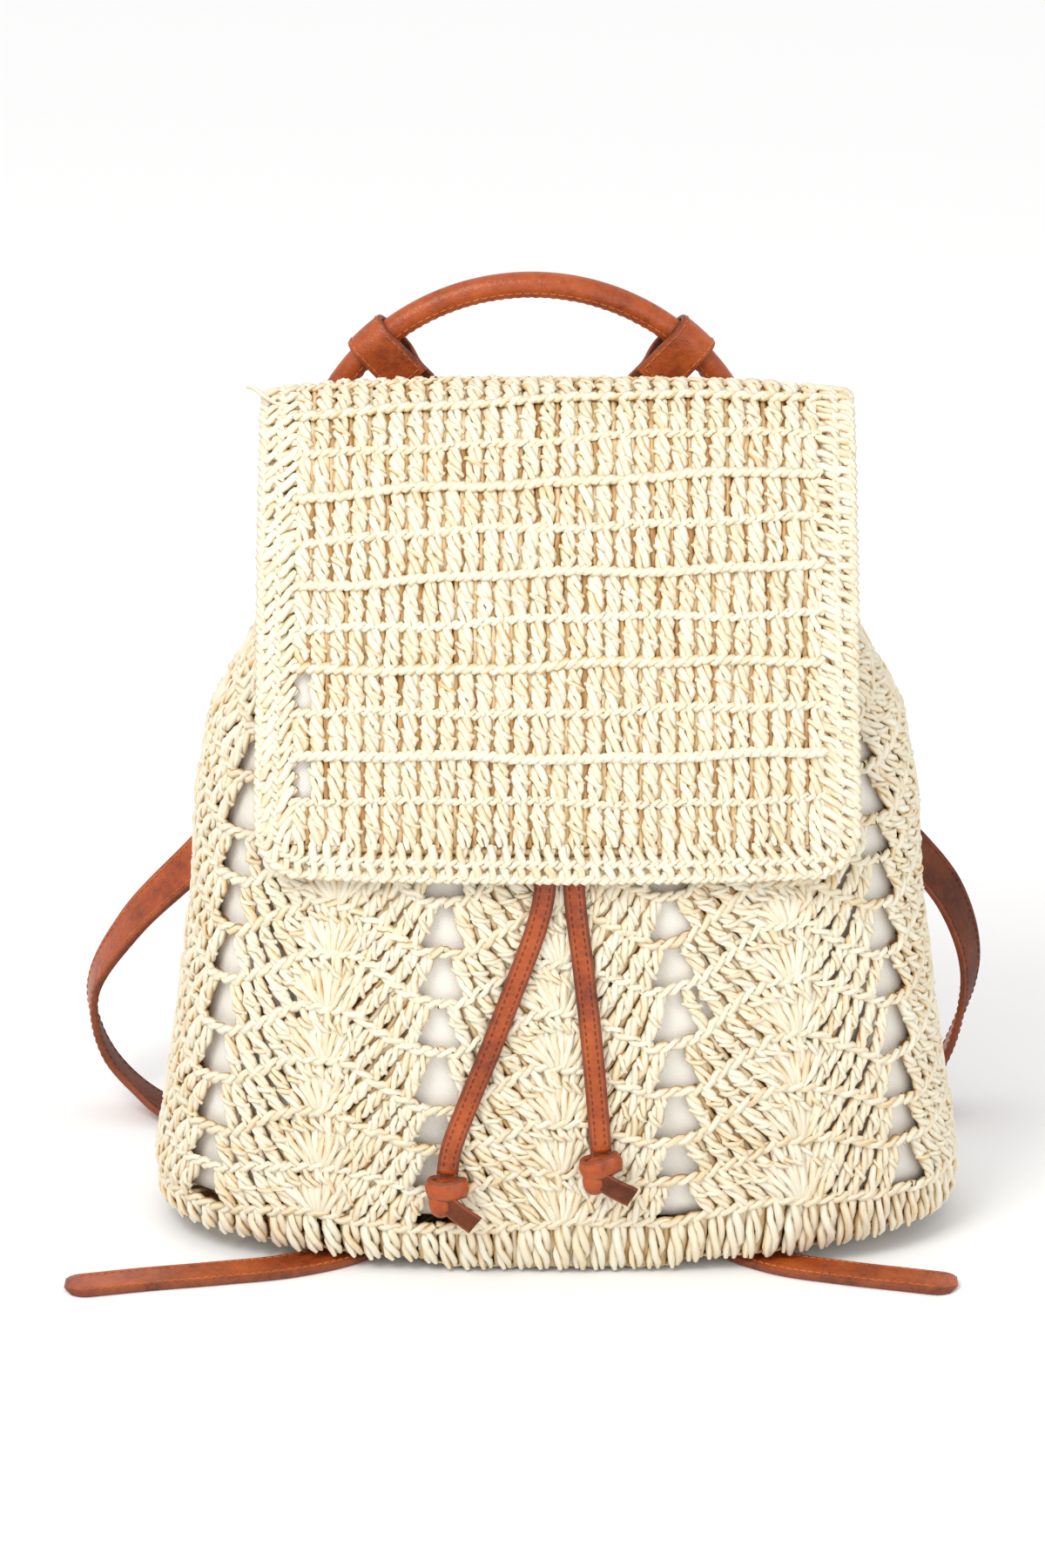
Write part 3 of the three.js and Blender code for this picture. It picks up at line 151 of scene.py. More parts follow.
# The flap, as in the part's source
FLAP_TOP_WIDTH = 226
FLAP_BOTTOM_WIDTH = 234
FLAP_CORNER_RADIUS = 17
FLAP_SIDE_SETBACK = 12
FLAP_CREST = 340
FLAP_DROP = 171
FLAP_GAP = 4.9
FLAP_SIDE_SHARES = (0.3, 0.6)  # of its length, where the sides' setback begins and is full
FOLD_SHARES = (0.12, 0.3)  # where the fold over the mouth begins
FLAP_WALL = 3.2
LACE_WIDTH = 7.6
LACE_THICKNESS = 2.8
LACE_SEAM_OFFSET = 1.9
LACE_STEPS = 160
DRAWSTRING_SPAN = (0.02, 0.98)  # of the way round from the front's middle
DRAWSTRING_STEPS = 200


def unit(v):
    return v / np.maximum(np.linalg.norm(v, axis=-1, keepdims=True), 1e-9)


def smooth(low, high, x):
    t = np.clip((np.asarray(x, float) - low) / (high - low), 0, 1)
    return t * t * (3 - 2 * t)


def lengths_along(line):
    """Distance along a line of points from its start, at each of them."""
    return np.concatenate([[0], np.cumsum(np.linalg.norm(np.diff(line, axis=0), axis=1))])


def evenly(line, count):
    """The same line as count points evenly far apart."""
    length = lengths_along(line)
    even = np.linspace(0, length[-1], count)
    return np.stack([np.interp(even, length, line[:, n]) for n in range(line.shape[1])], axis=1)


def add_piece(name, mesh):
    """Makes a mesh a smooth piece that rides on the part's one body."""
    mesh.polygons.foreach_set("use_smooth", np.ones(len(mesh.polygons), dtype=bool))
    piece = bpy.data.objects.new(name, mesh)
    bpy.context.scene.collection.objects.link(piece)
    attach(piece, "root")
    return piece


def stand_for(piece, node):
    """Hides one of the part's solids, whose place the piece takes."""
    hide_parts(node)
    return piece


def stand_for_leather(piece, node=None):
    """Hides the solid that a leather piece is named after, or another one, whose place the piece takes."""
    return stand_for(piece, node or piece.name.replace("leather_", ""))


def section_at(z):
    """Half the body's width and its depths to the front and to the back at a height."""
    share = np.asarray(z, float) / BODY_HEIGHT
    columns = [np.interp(share, SECTIONS[:, 0], SECTIONS[:, n]) for n in (1, 2, 3)]
    return columns[0] * HALF_WIDTH, columns[1] * HALF_DEPTH, columns[2] * HALF_DEPTH


# Angle of a quarter of the rounded oval at a share of its length, for each shape of oval
ASPECTS = np.linspace(0.05, 1.2, 70)
SHARES = np.linspace(0, 1, 161)


def quarter_angles():
    angle = np.linspace(0, math.pi / 2, 600)
    power = 2 / BODY_ROUNDNESS
    table = []
    for aspect in ASPECTS:
        x = np.sin(angle) ** power
        y = aspect * np.cos(angle) ** power
        length = np.concatenate([[0], np.cumsum(np.hypot(np.diff(x), np.diff(y)))])
        table.append(np.interp(SHARES, length / length[-1], angle))
    return np.array(table)


ANGLES = quarter_angles()


def body_point(turn, z, out):
    """Points of the body's surface, a share of the way round from the front's middle, moved outwards."""
    turn, z, out = np.broadcast_arrays(turn, z, out)
    wide, front, back = section_at(z)
    turn = turn - np.floor(turn)
    quarter = np.minimum(3, np.floor(turn * 4))
    within = turn * 4 - quarter
    share = np.where(quarter % 2 == 0, within, 1 - within)
    at_front = (quarter == 0) | (quarter == 3)
    wide = wide + out
    deep = np.where(at_front, front, back) + out
    i = np.clip((deep / wide - ASPECTS[0]) / (ASPECTS[1] - ASPECTS[0]), 0, len(ASPECTS) - 1.001)
    j = np.clip(share * (len(SHARES) - 1), 0, len(SHARES) - 1.001)
    i0, j0 = i.astype(int), j.astype(int)
    fi, fj = i - i0, j - j0
    angle = (ANGLES[i0, j0] * (1 - fi) * (1 - fj) + ANGLES[i0 + 1, j0] * fi * (1 - fj)
             + ANGLES[i0, j0 + 1] * (1 - fi) * fj + ANGLES[i0 + 1, j0 + 1] * fi * fj)
    power = 2 / BODY_ROUNDNESS
    x = wide * np.sin(angle) ** power
    y = deep * np.clip(np.cos(angle), 0, 1) ** power
    return np.stack([np.where(quarter < 2, x, -x), np.where(at_front, -y, y), z], axis=-1)


def body_outward(turn, z):
    step = 0.004
    around = body_point(turn + step, z, 0) - body_point(turn - step, z, 0)
    up = body_point(turn, z + 2, 0) - body_point(turn, z - 2, 0)
    return unit(np.cross(around, up))


def ridge_height(row, turn):
    """The height of the ridge above a row of stitches, a share of the way round the body."""
    up, ripple, sway = ROWS[row]
    in_period = turn * PERIODS
    from_fan = np.abs(in_period - np.round(in_period))
    dip = np.clip((from_fan - FAN_FLAT) / (GAP_FLAT - FAN_FLAT), 0, 1)
    round_turn = turn - np.floor(turn)
    climb = smooth(0.01, 0.12, round_turn) * (1 - smooth(0.3, 0.5, round_turn))
    return up * BODY_HEIGHT - ripple * RIDGE_RIPPLE * dip + sway * RIDGE_SWAY * climb


def base_underside(x, share):
    """The height of the base's lower face, a share of the way from its middle to its rim."""
    run = DRAPE_RUN + (RIM_DRAPE_RUN - DRAPE_RUN) * smooth(0.6, 0.9, share)
    over_straps = STRAP_DRAPE * smooth(0, 1, (np.abs(x) - FLAT_HALF_WIDTH) / run)
    outer = smooth(HALF_WIDTH * 0.45, HALF_WIDTH * 0.95, np.abs(x))
    return over_straps + CORNER_LIFT * outer * smooth(0.7, 0.95, share)


def handmade(turn, row):
    """Small unevenness of a row's height, the same for all that meets at the row."""
    angle = 2 * math.pi * np.asarray(turn)
    return sum(size * np.sin(count * angle + 1.7 * row * count) for count, size in ROW_WAVES)


def varied(share, shape):
    """Factors that differ from 1 by up to a share."""
    return 1 + random.uniform(-share, share, shape)


def row_height(row, turn):
    return ridge_height(row, turn) + (handmade(turn, row) if row < CHANNEL_ROW else 0)


class Yarns:
    """Collects tubes of yarn and makes them one mesh, with the yarn's own coordinates as its UV map."""

    def __init__(self):
        # tones: each strand's own tone; creases: painted shade at each point
        self.points, self.faces, self.uvs, self.tones, self.creases = [], [], [], [], []
        self.count = 0

    def add(self, centre, outward, radius, squash=0.82, sides=YARN_SIDES, shade=0.0):
        """Adds tubes along centre lines, with painted shade on each strand's inner side. shade adds more
        painted shade, for what lies deep in the stitches.
        """
        strands, steps, _ = centre.shape
        tangent = unit(np.gradient(centre, axis=1))
        side = unit(np.cross(tangent, outward))
        normal = np.cross(side, tangent)
        roll = random.uniform(0, 2 * math.pi, (strands, 1, 1))
        angle = np.arange(sides) / sides * 2 * math.pi + roll
        wide = radius[..., None, None] * np.cos(angle)[..., None] * side[:, :, None, :]
        deep = radius[..., None, None] * squash * np.sin(angle)[..., None] * normal[:, :, None, :]
        self.points.append((centre[:, :, None, :] + wide + deep).reshape(-1, 3))
        first = (self.count + np.arange(strands * steps * sides)).reshape(strands, steps, sides)
        a = first[:, :-1, :]
        b = first[:, 1:, :]
        quads = np.stack([a, b, np.roll(b, -1, axis=2), np.roll(a, -1, axis=2)], axis=-1)
        self.faces.append(quads.reshape(-1, 4))
        length = np.concatenate([np.zeros((strands, 1)),
                                 np.cumsum(np.linalg.norm(np.diff(centre, axis=1), axis=2), axis=1)], axis=1)
        start = random.uniform(0, STREAK_START, (strands, 1))
        along = (length + start)[:, :, None] + np.zeros(sides)
        low, high = along[:, :-1, :], along[:, 1:, :]
        turn = (np.arange(sides) + np.zeros((strands, steps - 1, 1))) / sides
        step = 1 / sides
        uv = np.stack([np.stack([turn, low], -1), np.stack([turn, high], -1),
                       np.stack([turn + step, high], -1), np.stack([turn + step, low], -1)], axis=3)
        self.uvs.append(uv.reshape(-1, 2))
        self.tones.append(np.repeat(random.uniform(0, 1, strands), steps * sides))
        # painted shade: none on a strand's outer side, most on its inner side, plus shade for strands deep in
        # the stitches
        self.creases.append((shade + 0.5 - 0.5 * np.sin(angle) + np.zeros((strands, steps, sides))).ravel())
        self.count += strands * steps * sides

    def rope(self, centre, outward, strands=POST_STRANDS, turns=0.75, spread=POST_SPREAD, radius=YARN_RADIUS,
             flatness=POST_FLATNESS, phase=0.0, taper=True, pinch=None, sides=YARN_SIDES):
        """Twists strands round each centre line. pinch narrows the rope at each step."""
        count, steps, _ = centre.shape
        t = np.linspace(0, 1, steps)
        tangent = unit(np.gradient(centre, axis=1))
        side = unit(np.cross(tangent, outward))
        normal = np.cross(side, tangent)
        belly = (ROPE_BELLY[0] + ROPE_BELLY[1] * np.sin(math.pi * t)) if pinch is None else pinch
        ends = np.where((t == 0) | (t == 1), ROPE_TIP, 1.0) if taper else np.ones(steps)
        wobble = random.uniform(-0.5, 0.5, (count, 1))
        twist = turns * (varied(TWIST_VARIES, (count, 1)) if taper else 1)
        for n in range(strands):
            angle = phase + wobble + 2 * math.pi * (n / strands + twist * t)
            size = spread * belly * varied(SPREAD_VARIES, (count, 1))
            offset = (size * np.cos(angle))[..., None] * side
            offset = offset + (size * flatness * np.sin(angle))[..., None] * normal
            offset = offset + random.normal(0, UNEVENNESS, centre.shape)
            width = radius * ends * varied(RADIUS_VARIES, (count, 1)) * np.clip(0.7 + 0.4 * belly, 0.6, 1.1)
            self.add(centre + offset, outward, width * np.ones((count, steps)), sides=sides)

    def wraps(self, centre, outward, at=0.5, reach=2.9, climb=2.1, lift=1.9, radius=1.15):
        """Lays a short strand aslant over each post, where the yarn is wrapped round it."""
        count, steps, _ = centre.shape
        place = (at + random.uniform(-WRAP_VARIES, WRAP_VARIES, count)) * (steps - 1)
        low = np.clip(place.astype(int), 0, steps - 2)
        rows = np.arange(count)
        part = (place - low)[:, None]
        middle = centre[rows, low] * (1 - part) + centre[rows, low + 1] * part
        tangent = unit(centre[rows, low + 1] - centre[rows, low])
        out = unit(outward[rows, low])
        side = unit(np.cross(tangent, out))
        s = np.linspace(-1, 1, WRAP_STEPS)[None, :, None]
        line = middle[:, None] + side[:, None] * reach * s - tangent[:, None] * climb * s
        line = line + out[:, None] * (lift * (1 - 1.25 * s ** 4))
        line = line + random.normal(0, 0.15, (count, WRAP_STEPS, 3))
        self.add(line, np.repeat(out[:, None], WRAP_STEPS, axis=1), np.full((count, WRAP_STEPS), radius),
                 sides=PLAIN_SIDES)

    def make(self, name, material):
        mesh = bpy.data.meshes.new(name)
        points = np.concatenate(self.points) * MM
        faces = np.concatenate(self.faces)
        mesh.vertices.add(len(points))
        mesh.vertices.foreach_set("co", points.astype(np.float32).ravel())
        mesh.loops.add(faces.size)
        mesh.loops.foreach_set("vertex_index", faces.astype(np.int32).ravel())
        mesh.polygons.add(len(faces))
        mesh.polygons.foreach_set("loop_start", np.arange(0, faces.size, 4, dtype=np.int32))
        uv = mesh.uv_layers.new(name="yarn")
        uv.data.foreach_set("uv", np.concatenate(self.uvs).astype(np.float32).ravel())
        for kind, values in (("tone", self.tones), ("crease", self.creases)):
            layer = mesh.attributes.new(kind, "FLOAT", "POINT")
            layer.data.foreach_set("value", np.concatenate(values).astype(np.float32))
        mesh.update(calc_edges=True)
        mesh.materials.append(material)
        return add_piece(name, mesh)


def posts_between(yarns, foot, head, out=ROW_DEPTH, bow=0.0, wrap=None, **rope):
    """Rope posts on the body from foot to head, each an array of (turn, height)."""
    t = np.linspace(0, 1, POST_STEPS)
    ease = t + bow * np.sin(2 * math.pi * t) / (2 * math.pi)
    turn = foot[:, :1] + (head[:, :1] - foot[:, :1]) * ease
    z = foot[:, 1:] + (head[:, 1:] - foot[:, 1:]) * t
    turn = turn + random.uniform(-POST_TURN_VARIES, POST_TURN_VARIES, (len(foot), 1)) * (0.4 + t)
    depth = out + random.uniform(-POST_DEPTH_VARIES, POST_DEPTH_VARIES, (len(foot), 1))
    depth = depth + POST_LEAN[0] - POST_LEAN[1] * t + POST_BOW * np.sin(math.pi * t)
    centre = body_point(turn, z, depth)
    outward = body_outward(turn, z)
    yarns.rope(centre, outward, **rope)
    if wrap is not None:
        yarns.wraps(centre, outward, at=wrap)


def backing_strands(yarns, foot, head, place, outward, keep=BACKING_KEPT, shade=0.38, radius=1.9, steps=5):
    """Plain strands behind the slits between posts, where the posts' back loops fill them. They carry painted
    shade, as much as shade gives.
    """
    kept = random.uniform(0, 1, len(foot)) < keep
    foot, head = foot[kept], head[kept]
    at = foot[:, None, :] + (head - foot)[:, None, :] * np.linspace(0, 1, steps)[:, None]
    x, y = at[..., 0], at[..., 1]
    yarns.add(place(x, y), outward(x, y), np.full(x.shape, radius), sides=PLAIN_SIDES, shade=shade)


def body_backing(yarns, foot, head, behind=BACKING_DEPTH, keep=BACKING_KEPT):
    def place(turn, z):
        return body_point(turn, z, ROW_DEPTH - behind)

    backing_strands(yarns, foot, head, place, body_outward, keep)


def between(points):
    return (points[1:] + points[:-1]) / 2


def chain_along(yarns, turn, height, stitches, out, radius=1.42, spread=1.25):
    """A chain of stitches on the body, as two strands twisted once for every two stitches."""
    centre = body_point(turn, height, out)[None]
    outward = body_outward(turn, height)[None]
    yarns.rope(centre, outward, strands=2, turns=stitches / 2, spread=spread, radius=radius, flatness=0.7,
               taper=False, pinch=np.ones(len(turn)), sides=PLAIN_SIDES)


def post_feet():
    """Each post of a period, counted from its fan, and its foot and head as shares of the period."""
    outer = POSTS_PER_PERIOD // 2
    reach = np.arange(-outer, outer + 1)
    past_fan = np.abs(reach) - FAN_POSTS - 1
    side_pitch = (0.5 - GAP_HALF_SHARE - FAN_FOOT_HALF_SHARE) / (outer - FAN_POSTS - 1)
    side_foot = np.sign(reach) * (FAN_FOOT_HALF_SHARE + past_fan * side_pitch)
    feet = np.where(np.abs(reach) <= FAN_POSTS, reach * FAN_PITCH, side_foot)
    return reach, feet, reach / outer * (0.5 - GAP_HEAD_SHARE)


def fan_row(yarns, period, row):
    """A row's posts of one period: a fan in the middle and slanting posts beside it, up to the gaps."""
    reach, feet, heads = post_feet()
    head_turn = (period + heads) / PERIODS
    foot_turn = (period + feet) / PERIODS
    foot = np.stack([foot_turn, row_height(row - 1, foot_turn) - 0.6], axis=1)
    head = np.stack([head_turn, row_height(row, head_turn) + 0.3], axis=1)
    in_fan = np.abs(reach) <= FAN_POSTS
    pinch = 0.3 + 0.75 * np.sin(0.5 * math.pi * np.linspace(0, 1, POST_STEPS)) ** 0.8
    posts_between(yarns, foot[in_fan], head[in_fan], pinch=pinch, **FAN_ROPE)
    posts_between(yarns, foot[~in_fan], head[~in_fan], **SIDE_ROPE)
    body_backing(yarns, between(foot), between(head))


def rim_row(yarns, first, last):
    """The lowest row, which stands round the base."""
    turn = first + (np.arange(RIM_POSTS) + 0.5) / RIM_POSTS * (last - first)
    foot = base_underside(body_point(turn, 0.0, 0.0)[:, 0], 1) + 1.6
    head = row_height(0, turn) + 0.2
    posts_between(yarns, np.stack([turn, foot], 1), np.stack([turn, head], 1), **RIM_ROPE)
    behind = between(turn)
    backing_foot = np.stack([behind, between(foot) + 0.8], 1)
    backing_head = np.stack([behind, row_height(0, behind)], 1)
    body_backing(yarns, backing_foot, backing_head, RIM_BACKING_DEPTH, keep=1)


def neck_rows(yarns, first, last):
    """The plain rows above the fans, up to the mouth."""
    posts = first + (np.arange(NECK_POSTS) + 0.5) / NECK_POSTS * (last - first)
    turn = np.linspace(first, last, NECK_POSTS * STITCH_STEPS + 1)
    for row in range(LAST_FAN_ROW + 1, len(ROWS)):
        posts_between(yarns, np.stack([posts, row_height(row - 1, posts) - 0.4], 1),
                      np.stack([posts, row_height(row, posts) + 0.3], 1), turns=0.5)
        chain_along(yarns, turn, row_height(row, turn), NECK_POSTS, ROW_DEPTH + 0.4)


def body_quarter(index, material):
    """The straw stitches of two periods of the body."""
    yarns = Yarns()
    for period in (2 * index, 2 * index + 1):
        for row in range(1, LAST_FAN_ROW + 1):
            fan_row(yarns, period, row)
    first = (2 * index - 0.5) / PERIODS
    last = (2 * index + 1.5) / PERIODS
    stitches = 2 * POSTS_PER_PERIOD
    turn = np.linspace(first, last, stitches * STITCH_STEPS + 1)
    for row in range(LAST_FAN_ROW + 1):
        chain_along(yarns, turn, row_height(row, turn), stitches, ROW_DEPTH + 0.7)
    rim_row(yarns, first, last)
    neck_rows(yarns, first, last)
    stand_for(yarns.make(f"straw_body_{index + 1}", material), "body_wall")


def smooth_path(points, count, span_steps=24):
    """A smooth curve through the points, as count points evenly far apart."""
    p = np.array(points, float)
    p = np.vstack([2 * p[0] - p[1], p, 2 * p[-1] - p[-2]])
    samples = []
    for i in range(1, len(p) - 2):
        p0, p1, p2, p3 = p[i - 1:i + 3]
        d1, d2, d3 = (max(np.linalg.norm(b - a) ** 0.5, 1e-4) for a, b in ((p0, p1), (p1, p2), (p2, p3)))
        m1 = (p1 - p0) / d1 - (p2 - p0) / (d1 + d2) + (p2 - p1) / d2
        m2 = (p2 - p1) / d2 - (p3 - p1) / (d2 + d3) + (p3 - p2) / d3
        m1, m2 = m1 * d2, m2 * d2
        t = np.linspace(0, 1, span_steps, endpoint=i == len(p) - 3)[:, None]
        samples.append((2 * t**3 - 3 * t**2 + 1) * p1 + (t**3 - 2 * t**2 + t) * m1
                       + (3 * t**2 - 2 * t**3) * p2 + (t**3 - t**2) * m2)
    return evenly(np.concatenate(samples), count)


# The flap's side view, as in the part's source
LAP_LOW = 0.76  # height of the back seam, as a share of the crest's
LAP_CLEAR_UPS = (0.812, 0.853)  # heights where the flap passes the drawstring, likewise
LACE_PASSING_GAP = 1.8
LAP_SEAM_GAP = 0.45
FLAP_CORNER_SAG = 5
PROFILE_STEPS = 400
LAP_STEPS = 150  # of them, up to the back's upper edge
FLAP_SIDE_VIEW = [(0.69, 0.9), (0.54, 0.967), (0.29, 1), (0.03, 0.988), (-0.21, 0.948), (-0.45, 0.884),
                  (-0.62, 0.8), (-0.78, 0.7), (-0.91, 0.6)]


def flap_profile():
    lace_clear = float(section_at(CHANNEL_LOW)[2]) + LACE_THICKNESS + LACE_PASSING_GAP
    lap_low = LAP_LOW * FLAP_CREST
    bottom = FLAP_CREST - FLAP_DROP
    points = [(float(section_at(lap_low)[2]) + LAP_SEAM_GAP, lap_low)]
    points += [(lace_clear, up * FLAP_CREST) for up in LAP_CLEAR_UPS]
    points += [(deep * HALF_DEPTH, up * FLAP_CREST) for deep, up in FLAP_SIDE_VIEW]
    points.append((-(float(section_at(bottom)[1]) + FLAP_GAP), bottom))
    return smooth_path(points, PROFILE_STEPS)


FLAP_PROFILE = flap_profile()
FLAP_LENGTH = float(lengths_along(FLAP_PROFILE)[-1])


def flap_point(x, along, out):
    """Points of the flap at x, a distance in mm along it from its back seam, and out from its inner face."""
    x, along, out = np.broadcast_arrays(np.asarray(x, float), along, out)
    at = np.clip(along / FLAP_LENGTH, 0, 1)
    knots = np.linspace(0, 1, len(FLAP_PROFILE))
    slope = np.gradient(FLAP_PROFILE, axis=0)
    y, z = (np.interp(at, knots, FLAP_PROFILE[:, n]) for n in range(2))
    ty, tz = (np.interp(at, knots, slope[:, n]) for n in range(2))
    size = np.hypot(ty, tz)
    setback = FLAP_SIDE_SETBACK * smooth(*FLAP_SIDE_SHARES, at) * (x / (FLAP_BOTTOM_WIDTH / 2)) ** 2
    past = along - at * FLAP_LENGTH
    across = np.clip(x / flap_half_width(along), -1, 1)
    sag = FLAP_CORNER_SAG * across ** 4 * smooth(*FOLD_SHARES, at) * (1 - smooth(*FLAP_SIDE_SHARES, at))
    move = out - setback - sag
    y = y + tz / size * move + ty / size * past
    return np.stack([x, y, z - ty / size * move + tz / size * past], axis=-1)


def flap_outward(x, along):
    across = flap_point(x + 1, along, 0) - flap_point(x - 1, along, 0)
    down = flap_point(x, along + 1, 0) - flap_point(x, along - 1, 0)
    return unit(np.cross(down, across))


def flap_half_width(along):
    share = np.clip(along / FLAP_LENGTH, 0, 1)
    return (FLAP_TOP_WIDTH + (FLAP_BOTTOM_WIDTH - FLAP_TOP_WIDTH) * share) / 2


FLAP_ROW = 17.7
FLAP_POST_PITCH = 7.1
BORDER_POST_PITCH = 5.6
BORDER = 13.5
FLAP_DEPTH = 2.7  # of a post's middle outside the flap's inner face
LAP_THINNER = 0.9  # how much less that is on the lap, under the leather
LAP_SHARES = (75, 100)  # mm from the back seam where it thickens again
FLAP_BACKING_DEPTH = 1.4
FLAP_POST_LEAN = (0.5, 0.7)
OPEN_ROWS = (1, 3)  # rows from the bottom that have a small opening beside the left border
ROW_CLIMB = 0.055  # of a row for each mm to the right, near the fold
RIDGES = ((0.4, 1.25), (1.5, 1.45))  # how far out the chains between even and odd rows lie, and their radius
FLAP_ROPE = {"turns": 0.95, "spread": 1.8, "radius": 1.52, "flatness": 0.6, "wrap": 0.5}
FLAP_WRAP = {"reach": 3.2, "lift": 1.6}
LOOSE_STRAW_START = (-108, 0.36)  # x, and a share of the flap's length
LOOSE_STRAW_RADIUS = 0.9
BORDER_BANDS = (3.2, 7.2, 11.4)  # insets of the flat strands behind the border, which carry painted shade
BORDER_BAND_STEPS = 200
BORDER_BAND_RADIUS = 2.3
BORDER_CHAINS = ((0.6, -0.2, 1.45), (BORDER / 2, 0.5, 1.2))  # inset, how far out, and radius
BORDER_ROWS = ((BORDER + 1, BORDER / 2 - 0.8), (BORDER / 2 + 0.5, 0.4))  # insets of the posts' two ends
BORDER_ROPE = {"turns": 0.4, "strands": 2, "spread": 1.4, "radius": 1.6}


def flap_depth(along):
    """Of a post's middle outside the flap's inner face."""
    return FLAP_DEPTH - LAP_THINNER * (1 - smooth(*LAP_SHARES, along))


def flap_posts(yarns, foot, head, wrap=None, **rope):
    t = np.linspace(0, 1, POST_STEPS)
    place = foot[:, None, :] + (head - foot)[:, None, :] * t[:, None]
    place[..., 0] += random.uniform(-FLAP_POST_VARIES, FLAP_POST_VARIES, (len(foot), 1)) * (0.4 + t)
    varies = random.uniform(-FLAP_DEPTH_VARIES, FLAP_DEPTH_VARIES, (len(foot), 1))
    depth = flap_depth(place[..., 1]) + varies + FLAP_POST_LEAN[0] - FLAP_POST_LEAN[1] * t
    centre = flap_point(place[..., 0], place[..., 1], depth)
    outward = flap_outward(place[..., 0], place[..., 1])
    yarns.rope(centre, outward, **rope)
    if wrap is not None:
        yarns.wraps(centre, outward, at=wrap, **FLAP_WRAP)


def flap_chain(yarns, places, stitches, out, radius=1.3, spread=1.1):
    centre = flap_point(places[:, 0], places[:, 1], flap_depth(places[:, 1]) + out)[None]
    outward = flap_outward(places[:, 0], places[:, 1])[None]
    yarns.rope(centre, outward, strands=2, turns=stitches, spread=spread, radius=radius, flatness=0.75,
               taper=False, pinch=np.ones(len(places)), sides=PLAIN_SIDES)


def border_path(inset):
    """Places along the flap's edge, down the left side, along the bottom and up the right side."""
    radius = max(FLAP_CORNER_RADIUS - inset, 4)
    bottom = FLAP_LENGTH - inset
    low = bottom - radius
    side = float(flap_half_width(low)) - inset
    corner = np.linspace(0, math.pi / 2, 12)
    left_down = [(-float(flap_half_width(a)) + inset, a) for a in np.linspace(0, low, 60)]
    left_turn = [(-side + radius - radius * math.cos(c), low + radius * math.sin(c)) for c in corner[1:]]
    across = [(x, bottom) for x in np.linspace(-side + radius, side - radius, 30)[1:-1]]
    half = np.array(left_down + left_turn + across)
    right = np.array([(-x, a) for x, a in (left_down + left_turn)[::-1]])
    return np.vstack([half, right])


def row_drift(x, along):
    """How far a row's line is shifted: it climbs to the right near the fold and is never quite straight."""
    share = along / FLAP_LENGTH
    climb = -ROW_CLIMB * x * smooth(*FOLD_SHARES, share) * (1 - smooth(0.45, 0.95, share))
    uneven = 0.8 * np.sin(x / 23 + along) + 0.5 * np.sin(x / 9 + along * 3)
    return climb + uneven * smooth(0, 0.05, share)


def flap_backing_point(x, along):
    return flap_point(x, along, flap_depth(along) - FLAP_BACKING_DEPTH)


def flap_field(material):
    """The flap's rows of posts between chains, and a loose straw end at its upper corner."""
    yarns = Yarns()
    for row in range(int((FLAP_LENGTH - BORDER) / FLAP_ROW) + 1):
        low = FLAP_LENGTH - BORDER - row * FLAP_ROW
        high = max(low - FLAP_ROW, 1.5)
        half = float(flap_half_width(low)) - BORDER + 1
        count = int(2 * half / FLAP_POST_PITCH)
        x = (np.arange(count) + 0.5) / count * 2 * half - half
        if row in OPEN_ROWS:
            x = x[1:]
        foot = np.stack([x, low + row_drift(x, low) + 0.6], axis=1)
        head = np.stack([x, high + row_drift(x, high) - 0.3], axis=1)
        flap_posts(yarns, foot, head, **FLAP_ROPE)
        # the backing strands behind the flap's posts carry deeper painted shade
        backing_strands(yarns, between(foot), between(head), flap_backing_point, flap_outward, keep=1,
                        shade=0.6)
        places = np.linspace(-half, half, count * STITCH_STEPS + 1)
        if high > 2:
            ridge = np.stack([places, high + row_drift(places, high)], axis=1)
            out, radius = RIDGES[row % 2]
            flap_chain(yarns, ridge, count, out, radius)
    t = np.linspace(0, 1, 12)
    start_x, start = LOOSE_STRAW_START[0], LOOSE_STRAW_START[1] * FLAP_LENGTH
    loose = flap_point(start_x - 13 * t ** 0.8, start - 9 * t ** 2, 4 + 5 * np.sin(2.4 * t))[None]
    outward = flap_outward(start_x + 0 * t, start + 0 * t)[None]
    yarns.add(loose, outward, np.full((1, len(t)), LOOSE_STRAW_RADIUS))
    stand_for(yarns.make("straw_flap", material), "flap")


def flap_border(material):
    """Short stitches round the flap's edge, between chains."""
    yarns = Yarns()
    for inset in BORDER_BANDS:
        places = evenly(border_path(inset), BORDER_BAND_STEPS)
        centre = flap_point(places[:, 0], places[:, 1], flap_depth(places[:, 1]) - 1.3)[None]
        outward = flap_outward(places[:, 0], places[:, 1])[None]
        radius = np.full((1, BORDER_BAND_STEPS), BORDER_BAND_RADIUS)
        # painted shade on the flat bands behind the border
        yarns.add(centre, outward, radius, squash=0.3, sides=PLAIN_SIDES, shade=0.3)
    for inset, out, radius in BORDER_CHAINS:
        path = border_path(inset)
        stitches = int(lengths_along(path)[-1] / FLAP_POST_PITCH)
        flap_chain(yarns, evenly(path, stitches * STITCH_STEPS + 1), stitches, out, radius, spread=1.25)
    for near, far in BORDER_ROWS:
        stitches = int(lengths_along(border_path(near))[-1] / BORDER_POST_PITCH)
        foot = evenly(border_path(far), stitches)
        flap_posts(yarns, foot, evenly(border_path(near), stitches), **BORDER_ROPE)
    stand_for(yarns.make("straw_flap_border", material), "flap")


BASE_SPINE = 0.55  # half length of the base's middle line, as a share of half the body's width
BASE_ROUNDS = (0.04, 0.28, 0.52, 0.75, 0.95)  # from the middle line to the outline
BASE_ROPE = {"strands": 2, "turns": 0.5, "spread": 1.3, "flatness": 0.45, "radius": 1.3}
BASE_CHAIN = {"strands": 2, "spread": 0.9, "radius": 1.15, "flatness": 0.5, "taper": False}


